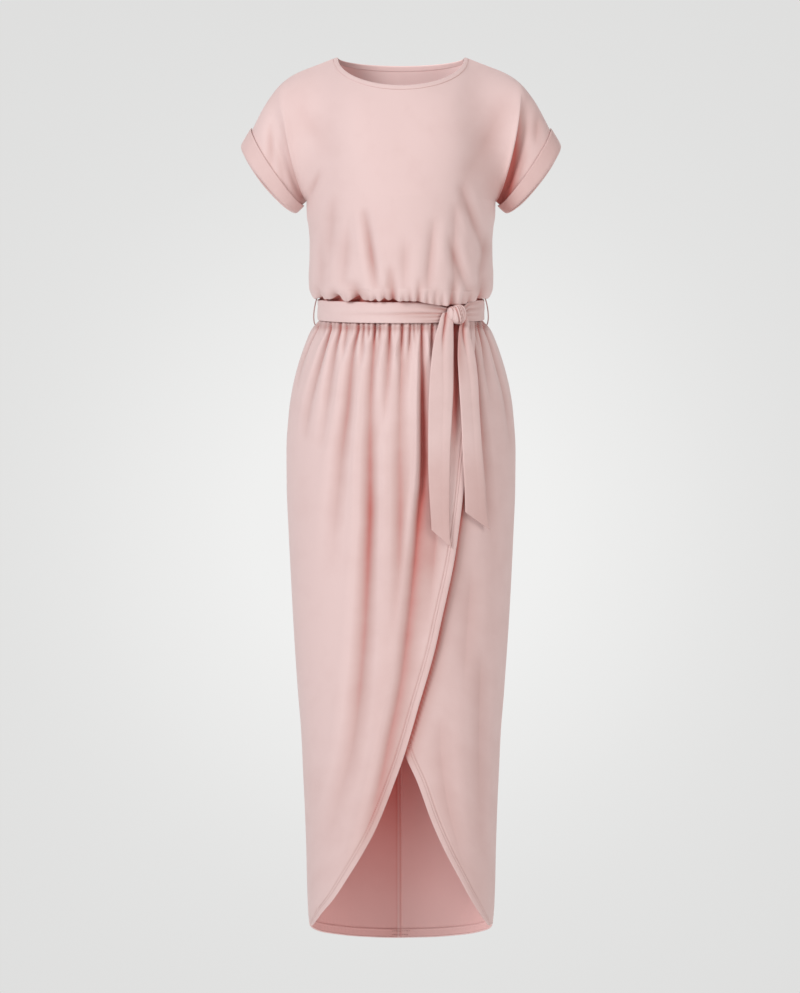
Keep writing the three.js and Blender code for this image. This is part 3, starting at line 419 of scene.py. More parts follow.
def jersey(name, light, deep):
    """Fine single jersey: soft sheen, faint wales, a little mottle; painted shade makes it darker and redder in folds
    and hollows and on the inner face, and a painted glow brightens the inner face near the openings.
    """
    mat = bpy.data.materials.new(name)
    nt, N, L = nodes_of(mat)
    out = N.new("ShaderNodeOutputMaterial")
    p = N.new("ShaderNodeBsdfPrincipled")
    p.inputs["Roughness"].default_value = 0.62
    p.inputs["Specular IOR Level"].default_value = 0.28
    p.inputs["Sheen Weight"].default_value = 0.3
    p.inputs["Sheen Roughness"].default_value = 0.45
    p.inputs["Sheen Tint"].default_value = (1.0, 0.93, 0.91, 1)
    uv = N.new("ShaderNodeUVMap")
    uv.uv_map = "cloth"
    fold = N.new("ShaderNodeAttribute")
    fold.attribute_name = "fold"
    inside = N.new("ShaderNodeAttribute")
    inside.attribute_name = "inside"
    # mottle
    mott = N.new("ShaderNodeTexNoise")
    mott.inputs["Scale"].default_value = 22
    mott.inputs["Detail"].default_value = 5
    L.new(uv.outputs["UV"], mott.inputs["Vector"])
    mr = N.new("ShaderNodeMapRange")
    mr.inputs["From Min"].default_value = 0.3
    mr.inputs["From Max"].default_value = 0.7
    mr.inputs["To Min"].default_value = -0.05
    mr.inputs["To Max"].default_value = 0.05
    L.new(mott.outputs["Fac"], mr.inputs["Value"])
    add = N.new("ShaderNodeMath")
    add.operation = "ADD"
    L.new(fold.outputs["Fac"], add.inputs[0])
    L.new(mr.outputs["Result"], add.inputs[1])
    # painted shade: the inner face turns a dark red the further it is from an opening, in place of light bouncing
    # inside the dress
    far = N.new("ShaderNodeAttribute")
    far.attribute_name = "deep"
    inner_shade_mask = N.new("ShaderNodeMath")
    inner_shade_mask.operation = "MULTIPLY"
    L.new(inside.outputs["Fac"], inner_shade_mask.inputs[0])
    L.new(far.outputs["Fac"], inner_shade_mask.inputs[1])
    # painted shade: this ramp turns the shade amount into a darker, redder colour
    ramp = N.new("ShaderNodeValToRGB")  # shallow folds only darken, deep ones redden
    shallow_shade = (light[0] * .81, light[1] * .715, light[2] * .695)
    while len(ramp.color_ramp.elements) < 3:
        ramp.color_ramp.elements.new(.5)
    for e, (at, tone) in zip(ramp.color_ramp.elements, ((0.0, light), (.42, shallow_shade), (1.0, deep))):
        e.position = at
        e.color = (*tone, 1)
    L.new(add.outputs["Value"], ramp.inputs["Fac"])
    inner_shade_mix = N.new("ShaderNodeMix")
    inner_shade_mix.data_type = "RGBA"
    L.new(inner_shade_mask.outputs["Value"], inner_shade_mix.inputs["Factor"])
    L.new(ramp.outputs["Color"], inner_shade_mix.inputs["A"])
    inner_shade_mix.inputs["B"].default_value = (*INNER_SHADE, 1)
    L.new(inner_shade_mix.outputs["Result"], p.inputs["Base Color"])
    # painted glow: a faint emission on the inner face near the neck and on the back skirt's inner face, in place of
    # daylight that comes through the thin cloth
    painted_glow = N.new("ShaderNodeAttribute")
    painted_glow.attribute_name = "painted_glow"
    glow_mask = N.new("ShaderNodeMath")
    glow_mask.operation = "MULTIPLY"
    L.new(inside.outputs["Fac"], glow_mask.inputs[0])
    L.new(painted_glow.outputs["Fac"], glow_mask.inputs[1])
    amount = N.new("ShaderNodeMath")
    amount.operation = "MULTIPLY"
    amount.inputs[1].default_value = .27
    L.new(glow_mask.outputs["Value"], amount.inputs[0])
    p.inputs["Emission Color"].default_value = (.86, .62, .6, 1)
    L.new(amount.outputs["Value"], p.inputs["Emission Strength"])
    # knit: wales run down the cloth, courses across, each a third of a millimetre or so
    mp = N.new("ShaderNodeMapping")
    mp.inputs["Scale"].default_value = (1, 1, 1)
    L.new(uv.outputs["UV"], mp.inputs["Vector"])
    wale = N.new("ShaderNodeTexWave")
    wale.wave_type = "BANDS"
    wale.bands_direction = "X"
    wale.inputs["Scale"].default_value = 420
    wale.inputs["Distortion"].default_value = 0.6
    wale.inputs["Detail"].default_value = 1
    L.new(mp.outputs["Vector"], wale.inputs["Vector"])
    course = N.new("ShaderNodeTexWave")
    course.wave_type = "BANDS"
    course.bands_direction = "Y"
    course.inputs["Scale"].default_value = 520
    course.inputs["Distortion"].default_value = 0.8
    L.new(mp.outputs["Vector"], course.inputs["Vector"])
    mul = N.new("ShaderNodeMath")
    mul.operation = "MULTIPLY"
    L.new(wale.outputs["Fac"], mul.inputs[0])
    L.new(course.outputs["Fac"], mul.inputs[1])
    fuzz = N.new("ShaderNodeTexNoise")
    fuzz.inputs["Scale"].default_value = 900
    fuzz.inputs["Detail"].default_value = 3
    L.new(uv.outputs["UV"], fuzz.inputs["Vector"])
    b0 = N.new("ShaderNodeBump")
    b0.inputs["Strength"].default_value = 0.12
    b0.inputs["Distance"].default_value = 0.0002
    L.new(mul.outputs["Value"], b0.inputs["Height"])
    b1 = N.new("ShaderNodeBump")
    b1.inputs["Strength"].default_value = 0.1
    b1.inputs["Distance"].default_value = 0.00025
    L.new(fuzz.outputs["Fac"], b1.inputs["Height"])
    L.new(b0.outputs["Normal"], b1.inputs["Normal"])
    L.new(b1.outputs["Normal"], p.inputs["Normal"])
    rr = N.new("ShaderNodeMapRange")
    rr.inputs["To Min"].default_value = 0.56
    rr.inputs["To Max"].default_value = 0.7
    L.new(mott.outputs["Fac"], rr.inputs["Value"])
    L.new(rr.outputs["Result"], p.inputs["Roughness"])
    L.new(p.outputs["BSDF"], out.inputs["Surface"])
    return mat


def thread_material(name, colour):
    mat = bpy.data.materials.new(name)
    nt, N, L = nodes_of(mat)
    out = N.new("ShaderNodeOutputMaterial")
    p = N.new("ShaderNodeBsdfPrincipled")
    p.inputs["Roughness"].default_value = 0.5
    p.inputs["Sheen Weight"].default_value = 0.2
    geo = N.new("ShaderNodeTexCoord")
    n = N.new("ShaderNodeTexNoise")
    n.inputs["Scale"].default_value = 900
    L.new(geo.outputs["Object"], n.inputs["Vector"])
    m = N.new("ShaderNodeMix")
    m.data_type = "RGBA"
    m.inputs["A"].default_value = (*colour, 1)
    m.inputs["B"].default_value = (*[c * 0.82 for c in colour], 1)
    L.new(n.outputs["Fac"], m.inputs["Factor"])
    L.new(m.outputs["Result"], p.inputs["Base Color"])
    L.new(p.outputs["BSDF"], out.inputs["Surface"])
    return mat


LIGHT = (0.795, 0.60, 0.583)
# painted shade colour of the deepest folds and hollows
DEEP_SHADE = (0.50, 0.128, 0.108)
CLOTH = jersey("jersey", LIGHT, DEEP_SHADE)
# the belt, knot and tails are of the dress's own jersey; this copy of it is a little lighter, painted light for the
# belt standing out towards the lamps
BELT_LIT = jersey("belt_jersey", (0.815, 0.625, 0.608), DEEP_SHADE)
THREAD = thread_material("thread", (0.62, 0.40, 0.375))
TOPSTITCH = thread_material("topstitch", (0.70, 0.47, 0.445))
CATCH = thread_material("catch_thread", (0.42, 0.17, 0.15))


def finish_piece(ob, nodes, mat):
    ob.data.materials.clear()
    ob.data.materials.append(mat)
    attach(ob, "root")
    if nodes:
        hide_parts(*nodes)
    return ob


def dress_stitches(ob, mat=TOPSTITCH):
    ob.data.materials.clear()
    ob.data.materials.append(mat)
    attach(ob, "root")
    return ob


# ------------------------------------------------------------------ skirt
def arcs(z, lo, hi, n=240):
    """Arc length table across a front row, from angle lo to hi (degrees)."""
    t = np.linspace(lo, hi, n)
    p = ring(SKIRT, z, t)
    s = np.concatenate([[0], np.cumsum(np.linalg.norm(np.diff(p, axis=0), axis=1))])
    return t, s


EDGE_S = np.array([0, .35, .9, 1.8, 3.2, 5, 7, 8, 8.4, 8.7, 9, 9.6, 10.8, 11.7, 12.0, 12.4, 13.2, 15, 17.5, 21])


def skirt_rows(step_top, step_low, end):
    z, out = -374.0, []
    while z > end:
        out.append(z)
        z -= mix(step_top, step_low, smooth((-400 - z) / 260))
    out.append(end)
    return np.array(out)


def edge_deg(tab, z):
    return np.degrees(np.arcsin(np.clip(col(tab, "x", z) / col(SKIRT, "half", z), -.985, .985)))


def hem_profile(s, puff=0.35):
    """Outward change of the outer face over a turned hem, s mm from its edge."""
    edge = -0.75 * np.clip(1 - s / 1.6, 0, 1) ** 2
    body = puff * np.sin(np.clip(s / HEM, 0, 1) * math.pi) ** 0.7
    groove = -0.6 * np.exp(-((s - HEM) / 0.6) ** 2) - 0.5 * np.exp(-((s - HEM_ROW) / 0.6) ** 2)
    after = 0.25 * np.exp(-((s - HEM - 2.2) / 1.5) ** 2)
    return edge + body + groove + after


def hem_thick(s):
    return mix(HEM_WALL, WALL, smooth((s - HEM + .2) / 1.2))


def pucker(along_mm, seed):
    """Slight puckers that the stitching draws into a hem."""
    return 0.16 * np.sin(along_mm / 7.3 * 2 * math.pi + noise(seed, along_mm, 0 * along_mm, 60) * 2.2)


def front_panel(name, over):
    edge_tab = OVER_EDGE if over else UNDER_EDGE
    rows = skirt_rows(3.0, 7.2, -1282.0)
    n_main = 236 if over else 200
    sgn = -1 if over else 1  # the side seam's side
    Zg, Dg, Sg, Lg = [], [], [], []
    for z in rows:
        e = float(edge_deg(edge_tab, z))
        t, s = arcs(z, e, sgn * 90)
        total = s[-1]
        k = min(1.0, total / 70)
        near = EDGE_S * k
        q = np.linspace(0, 1, n_main)
        rest = mix(near[-1], total, q[1:])
        ss = np.concatenate([near, rest])
        Dg.append(np.interp(ss, s, t))
        Sg.append(ss)
        Zg.append(np.full(len(ss), z))
    Z, D, S = np.array(Zg), np.array(Dg), np.array(Sg)
    X = col(SKIRT, "half", Z) * np.sin(np.radians(D))
    press = smooth((-376 - Z) / 9)
    # a hem's distance is square to the edge, not along the row
    slope = np.gradient(col(edge_tab, "x", rows), rows)
    square = np.cos(np.arctan(slope))[:, None]
    hem_s = S * square
    inward = fold_field(OVER_FOLDS if over else UNDER_FOLDS, Z, X)
    inward = (inward + creases(OVER_CREASES if over else UNDER_CREASES, Z, X)) * press
    wave = noise(11 if over else 12, X, Z * .35, 120) * 1.1 * smooth((-420 - Z) / 120)
    out = -inward + wave * smooth((90 - np.abs(D)) / 25)
    if over:
        # the free edge stands a little off the panel beneath it
        lift = np.exp(-(S / 20) ** 2) * (1.4 + 2.6 * np.exp(-((Z + 800) / 110) ** 2)) * smooth((-440 - Z) / 60)
        lift = lift * smooth((Z + 1150) / 120)
        out = out + lift
    else:
        od = edge_deg(OVER_EDGE, rows)[:, None]
        gap = (D - od) * math.pi / 180 * np.hypot(col(SKIRT, "half", Z) * np.cos(np.radians(od)), col(SKIRT, "front", Z) * np.sin(np.radians(od)))
        hidden = smooth(-gap / 30)
        deep = mix(13.5, 5.5, smooth((-640 - Z) / 120))
        out = -2.6 * smooth((90 - D) / 14) - hidden * deep * np.clip(press + .15, 0, 1) - inward * (1 - hidden) + wave * (1 - hidden) * .7
        # a shallow hollow in the shade of the over panel's edge
        out = out - (1.0 + 2.6 * np.exp(-((Z + 800) / 110) ** 2)) * np.exp(-((gap - 2) / 8) ** 2) * smooth((-440 - Z) / 60) * smooth((Z + 1150) / 60)
        # beneath, it dips wherever the over panel does
        above = fold_field(OVER_FOLDS, Z, X) * press
        short = smooth((-gap - 2) / 12) * (above + 2.2) - hidden * deep
        out = out - np.clip(short, 0, None) * smooth((-600 - Z) / 60)
    keep = smooth(col(SKIRT, "half", Z) * 0 + (np.max(S, 1, keepdims=True)) / 40)
    run = -Z
    out = out + (hem_profile(hem_s) + pucker(run, 5 if over else 6) * np.exp(-((hem_s - HEM) / 9) ** 2)) * keep * press
    P = ring(SKIRT, Z, D, out)
    P[:, -1, 1] = -SEAM  # side seam
    R, C = Z.shape
    grid = P if not over else P[:, ::-1]
    ids_seam = (np.arange(R) * C + (0 if over else C - 1))
    hs = hem_s if not over else hem_s[:, ::-1]
    # painted shade: the troughs and creases get a darker, redder colour, more so high up and around the deepest fold's
    # middle
    fold = np.clip(inward / 10.5 * (1 + .9 * smooth((Z + 440) / 45) + .3 * np.exp(-((Z + 700) / 70) ** 2)), 0, 1)
    if over:  # the dark gap between the two tails
        # painted shade in the gap between the two tails
        mid = along([-640, -560, -480, -420, -395], [62, 71, 77, 79.6, 80.4], Z)
        fold = np.clip(fold + .75 * np.exp(-np.abs((X - mid) / along([-560, -400], [10, 10], Z)) ** 3) * smooth((Z + 640) / 160), 0, 1)
    # painted shade: darker towards the hem
    fold = np.clip(fold + .07 * smooth((-960 - Z) / 160), 0, 1)
    # painted shade: the over panel's right part, which turns from the key light, is darker
    if over:
        fold = np.clip(fold + .13 * smooth((X + 50 - (Z + 640) * .1) / 60) * smooth((-480 - Z) / 120), 0, 1)
    # painted shadow right under the belt
    fold = np.clip(fold + .34 * np.exp(-((-397 - Z) / 4.5) ** 2), 0, 1)  # right under the belt
    # painted shade in the hem's stitch grooves
    fold = np.clip(fold + .24 * np.exp(-((hem_s - HEM) / .9) ** 2) + .13 * np.exp(-((hem_s - HEM_ROW) / .8) ** 2), 0, 1)
    if not over:  # in the shade of the over panel's edge
        # painted shadow that the over panel's edge casts on the under panel, and a little painted shade over the whole
        # under panel
        g = np.clip(gap, 0, None)
        down = smooth((-400 - Z) / 60) * smooth((Z + 1150) / 200)
        fold = np.clip(fold + down * (.95 * np.exp(-(g / 5) ** 2) + .5 * np.exp(-(g / 17) ** 2)) + .11 * smooth((-440 - Z) / 80), 0, 1)
    fold = fold if not over else fold[:, ::-1]
    uv = np.stack([(S if not over else (-S)[:, ::-1]), Z], -1).reshape(-1, 2)
    ob = wall(name, grid.reshape(-1, 3), grid_quads(R, C), hem_thick(hs).ravel() * 1.0, uv, {"fold": fold.ravel()}, [(ids_seam, 1)])
    # stitch line, square to the edge
    rows_out = []
    flatP = P.reshape(-1, 3)
    q = grid_quads(R, C)
    nn = vertex_normals(flatP, q)
    if over:
        nn = -nn
    nn = nn.reshape(R, C, 3)
    for at in (HEM, HEM_ROW):
        path, nor = [], []
        for i in range(R):
            if S[i, -1] < 30:
                continue
            h = hem_s[i]
            path.append([np.interp(at, h, P[i, :, k]) for k in range(3)])
            nor.append(nn[i, int(np.argmin(np.abs(h - at)))])
        rows_out.append((np.array(path), np.array(nor)))
    return ob, rows_out


def back_panel(name, side):
    rows = skirt_rows(3.0, 6.0, -1266.0)
    # rows crowd over the hem
    rows = np.concatenate([rows[rows > -1262], [-1262, -1265, -1267.5, -1269, -1269.8, -1270.4, -1271, -1272, -1274, -1277, -1279.5, -1281, -1281.7, -1282]])
    off = np.concatenate([np.linspace(0, 85.6, 116), [86.3, 86.6, 86.8, 87.0, 87.3, 88, 88.9, 89.3, 89.6, 89.8, 90]])
    Z, O = np.meshgrid(rows, off, indexing="ij")
    D = 90 + O if side > 0 else 270 - O
    press = smooth((-378 - Z) / 12)
    inward = fold_field(BACK_FOLDS_RIGHT if side > 0 else BACK_FOLDS_LEFT, Z, None, O, by_angle=True) * press
    wave = noise(21 + side, O * 2.3, Z * .35, 130) * 1.2 * smooth((-420 - Z) / 120) * smooth(O / 14) * smooth((90 - O) / 10)
    bottom = noise(31, O * side * 2.2, 0 * Z, 95) * 2.0 * smooth((-1120 - Z) / 160) * smooth(O / 25)
    hem_s = np.abs(Z + 1282)
    out = -inward + wave + bottom + hem_profile(hem_s) * 1.0 + pucker(O * 2.3, 8 + side) * np.exp(-((hem_s - HEM) / 8) ** 2)
    # the centre-back seam draws in a hair
    cb = (90 - O) * math.pi / 180 * col(SKIRT, "half", Z)
    out = out - 0.7 * np.exp(-(cb / 1.6) ** 2) + .25 * np.exp(-((cb - 4) / 3) ** 2)
    P = ring(SKIRT, Z, D, out)
    drop = smooth((-1120 - Z) / (-1120 - HEM_SIDE_Z + 3))
    P[..., 2] -= drop * (HEM_BACK_DIP * np.clip(P[..., 1] / 112, 0, 1.2) ** 0.9 + 2.6)
    P[:, 0, 1] = SEAM
    P[:, -1, 0] = side * SEAM
    R, C = Z.shape
    grid = P if side > 0 else P[:, ::-1]
    # painted shade in the troughs
    fold = np.clip(inward / 9, 0, 1)
    fold = fold if side > 0 else fold[:, ::-1]
    hs = hem_s
    uv = np.stack([O * 2.4, Z], -1)
    uv = uv if side > 0 else uv[:, ::-1]
    a = np.arange(R) * C
    first, last = (a, a + C - 1) if side > 0 else (a + C - 1, a)
    # the centre-back seam's allowance, pressed to one side within, edges overlocked
    thick = hem_thick(hs)
    if side < 0:
        cbs = cb[:, ::-1]
        thick = thick + 1.7 * smooth((5.8 - cbs) / 1.6) * (1 + .12 * np.sin(Z[:, ::-1] / 2.1))
    inz, inx = (Z, P[..., 0]) if side > 0 else (Z[:, ::-1], P[:, ::-1, 0])
    inc = cb if side > 0 else cb[:, ::-1]
    # painted shade on the inner face, darker and redder high up and lighter towards the hem; painted glow on the inner
    # face, mostly on the right half towards its side seam
    if side > 0:
        inner_shade_amount = .28 + .68 * smooth((inz + 1265) / 290)
        painted_glow = .12 + .5 * smooth(inx / 90) + 0 * inz
    else:
        inner_shade_amount = .38 + .5 * smooth((inz + 1268) / 230)
        painted_glow = .06 * smooth(-inx / 60) + 0 * inz
        inner_shade_amount = inner_shade_amount + .07 * np.exp(-((inc - 7) / 1.2) ** 2) - .2 * np.exp(-((inc - 3.2) / 2) ** 2)
    # painted shade along the centre-back seam, inside and out
    inner_shade_amount = inner_shade_amount + .1 * np.exp(-(inc / .9) ** 2)
    fold = np.clip(fold + .3 * np.exp(-(inc / .8) ** 2), 0, 1)
    ob = wall(name, grid.reshape(-1, 3), grid_quads(R, C), thick.ravel(), uv.reshape(-1, 2), {"fold": fold.ravel(), "deep": np.clip(inner_shade_amount, 0, 1).ravel(), "painted_glow": painted_glow.ravel()}, [(first, 1), (last, 0)])
    n = vertex_normals(P.reshape(-1, 3), grid_quads(R, C)).reshape(R, C, 3) * (1 if side > 0 else -1)
    row = int(np.argmin(np.abs(rows + 1282 - HEM)))
    return ob, P[row], n[row], (P, n, rows)


over, over_rows = front_panel("skirt_over", True)
under, under_rows = front_panel("skirt_under", False)
back_r, br_path, br_n, br_grid = back_panel("skirt_back_r", 1)
back_l, bl_path, bl_n, bl_grid = back_panel("skirt_back_l", -1)


# ------------------------------------------------------------------ bodice
def neck_point(n, deg):
    c, s = np.cos(np.radians(deg)), np.sin(np.radians(deg))
    y = np.where(c > 0, -n["front"] * c, -n["back"] * c)
    z = np.where(c > 0, mix(n["side"], n["low"], c), mix(n["side"], n["rear"], -c))
    return np.stack([n["half"] * s, y, z], -1)


def sleeve_point(side, k, psi, face, out=0.0):
    k, psi = np.broadcast_arrays(np.asarray(k, float), np.asarray(psi, float))
    idx = np.arange(len(SLEEVE["topX"]))
    g = {n: along(idx, SLEEVE[n], k) for n in SLEEVE}
    cx, cz = (g["topX"] + g["lowX"]) / 2, (g["topZ"] + g["lowZ"]) / 2
    ax, az = (g["topX"] - g["lowX"]) / 2, (g["topZ"] - g["lowZ"]) / 2
    ln = np.hypot(ax, az)
    ux, uz = ax / ln, az / ln
    wx, wz = uz, -ux
    c, s = np.cos(np.radians(psi)), np.sin(np.radians(psi))
    depth = g["front"] if face < 0 else g["back"]
    n1, n2 = c / ln, s / depth
    m = np.hypot(n1, n2)
    a = ln * c + n1 / m * out
    d = depth * s + n2 / m * out
    return np.stack([side * (cx + ux * a + wx * g["bow"] * s), face * d, cz + uz * a + wz * g["bow"] * s], -1)


def bezier(p, q, r, s, t):
    t = t[..., None]
    u = 1 - t
    return p * u**3 + q * 3 * u * u * t + r * 3 * u * t * t + s * t**3


def chest(c, r, face):
    c, r = np.broadcast_arrays(np.asarray(c, float), np.asarray(r, float))
    side, u = np.sign(c), np.abs(c)
    seam_z = lambda x: along(SHOULDER["x"], SHOULDER["z"], x)
    neck = neck_point(NECK_BODY, u * 180 if face < 0 else 180 - u * 180)
    sx = mix(NECK_BODY["half"], 176.5, np.clip((u - .5) / .5, 0, 1))
    sh = np.stack([sx, 0 * sx, seam_z(sx)], -1)
    top = np.where((u <= .5)[..., None], neck, sh)
    low = ring(BODICE, np.full(u.shape, -213.0), u * 90 if face < 0 else 180 - u * 90)
    far = np.linalg.norm(top - low, axis=-1)[..., None]
    w = smooth(u / .5)
    v = np.clip((u - .5) / .5, 0, 1)
    dy = along([0, .5, 1], [.42, .86, .5], u)
    dz = along([0, .5, 1], [.9, .5, .8], u)
    d = np.stack([.02 * w, face * dy, -dz], -1)
    d /= np.linalg.norm(d, axis=-1, keepdims=True)
    q = top + d * far * .36
    k = low + np.stack([6 * w, -face * 3 * (1 - w), far[..., 0] * .36], -1)
    p = bezier(top, q, k, low, r)
    topE = np.array([176.5, 0, float(seam_z(176.5))])
    lowE = ring(BODICE, -213.0, 90.0)
    farE = np.linalg.norm(topE - lowE)
    dE = np.array([.02, face * .5, -.8])
    dE /= np.linalg.norm(dE)
    edge = bezier(topE, topE + dE * farE * .36, lowE + np.array([6, 0, farE * .36]), lowE, r)
    target = sleeve_point(1, 0, 180 * r, face)
    p = p + (target - edge) * (v * v)[..., None]
    p[..., 0] *= np.where(side < 0, -1, 1)
    return p


# Soft troughs of the bodice front as the frame shows them: two ends, depth, width, plane.
FRONT_TROUGHS = [
    (363, 214, 375, 288, 5.2, 6.5, -118), (331, 200, 327, 262, 2.2, 9, -100), (317, 172, 306, 193, 2.6, 5, -80),
    (462, 190, 484, 246, 4.2, 7, -88), (449, 240, 469, 294, 3.4, 7, -100), (433, 222, 426, 292, 3.2, 7, -112),
    (488, 232, 478, 286, 3.4, 6.5, -70), (346, 222, 341, 286, 2.0, 8, -108), (404, 240, 402, 292, 2.0, 8, -118),
    (455, 206, 453, 294, 2.2, 7, -104), (390, 262, 386, 294, 1.8, 6, -118), (318, 236, 320, 288, 1.6, 7, -70),
    (503, 104, 468, 176, 1.8, 15, -75), (466, 172, 458, 216, 1.4, 13, -95),
    (297, 96, 322, 150, 1.0, 15, -70), (269, 126, 271, 164, 2.8, 5.5, -40), (538, 112, 535, 142, 2.4, 6.5, -40),
    (526, 150, 514, 190, 1.6, 6, -40), (277, 150, 284, 190, 1.2, 5, -40),
]
BACK_TROUGHS = [
    (368, 214, 376, 284, 3.2, 8, 100), (436, 206, 428, 284, 3.4, 8, 100), (402, 240, 403, 288, 2.2, 8, 104),
    (330, 190, 344, 270, 3.0, 9, 85), (470, 196, 458, 276, 2.8, 10, 85), (312, 236, 318, 282, 2.2, 7, 60),
    (488, 232, 482, 282, 2.2, 7, 60), (298, 100, 330, 190, 2.2, 15, 60), (503, 100, 470, 190, 2.2, 15, 60),
    (269, 126, 271, 164, 2.0, 6, 40), (538, 112, 535, 142, 2.0, 6.5, 40), (400, 96, 401, 180, 1.0, 26, 90),
]
# Tucks where the blouson is caught at the waist: place, width, height, depth, lift of its lip.
FRONT_TUCKS = [
    (318.5, 3.2, 18, 3.4, 2.6), (335, 5.2, 15, 4.8, 4.4), (345, 2.4, 12, 2.4, .3), (355.5, 5.4, 24, 6.4, 4.8), (367, 3, 13, 3.2, 1.6),
    (374, 2.4, 11, 2.8, 2.4), (383, 3, 20, 4.2, 3.2), (391.5, 3.6, 34, 6.6, 2.6), (402, 2.2, 14, 3, .4), (409, 2.2, 18, 3.6, .2),
    (417.5, 2.6, 26, 4.8, .6), (426, 2.4, 16, 3.2, .2), (434, 2.6, 17, 3.4, .2), (441, 2.4, 15, 3, .4), (452, 3.4, 30, 5.2, .8),
    (462, 2.6, 16, 3, .6), (470, 3.4, 20, 4.4, .3), (481, 3.8, 28, 6, .9), (325, 2.2, 10, 1.8, 1.6),
]
BACK_TUCKS = [
    (322, 3.4, 18, 3.6, 2.2), (334, 4.2, 24, 4.8, 2.8), (345, 2.8, 13, 2.8, .8), (355, 4.2, 28, 5.6, 3), (366, 2.8, 14, 2.8, 1),
    (376, 3.8, 24, 4.8, 2.4), (386, 2.6, 13, 2.6, .6), (395, 3.8, 30, 5.6, 2), (405, 2.6, 15, 3, 1), (414, 3.6, 22, 4.4, 2),
    (424, 2.6, 13, 2.8, .6), (433, 4.2, 30, 5.8, 2.8), (444, 2.8, 15, 3, 1), (454, 4, 26, 5, 2.4), (465, 3.2, 18, 3.6, 1.8), (478, 3.8, 22, 4.6, 2.4),
]


def troughs(P, rows):
    d = np.zeros(len(P))
    for u0, v0, u1, v1, deep, wide, y in rows:
        x0, z0 = seen(u0, v0, y)
        x1, z1 = seen(u1, v1, y)
        dx, dz = x1 - x0, z1 - z0
        ln2 = dx * dx + dz * dz
        t = ((P[:, 0] - x0) * dx + (P[:, 2] - z0) * dz) / ln2
        tc = np.clip(t, 0, 1)
        off = np.hypot(P[:, 0] - (x0 + dx * tc), P[:, 2] - (z0 + dz * tc))
        ends = np.sin(np.clip(.12 + .76 * tc, 0, 1) * math.pi) ** 1.1
        d += deep * ends * (np.exp(-(off / wide) ** 1.5) - .18 * np.exp(-((off / wide - 2.2) / .9) ** 2))
    return d


def soften(G, weight, times, seam_rows):
    """Eases a grid where weight is above 0; the seam rows move along themselves only."""
    w = weight[..., None]
    for _ in range(times):
        avg = G.copy()
        avg[1:-1, 1:-1] = (G[1:-1, 2:] + G[1:-1, :-2] + G[2:, 1:-1] + G[:-2, 1:-1]) / 4
        for r in seam_rows:
            avg[r, 1:-1] = (G[r, 2:] + G[r, :-2]) / 2
            avg[r, 1:-1, 1] = G[r, 1:-1, 1]
        G = G + .6 * w * (avg - G)
    return G


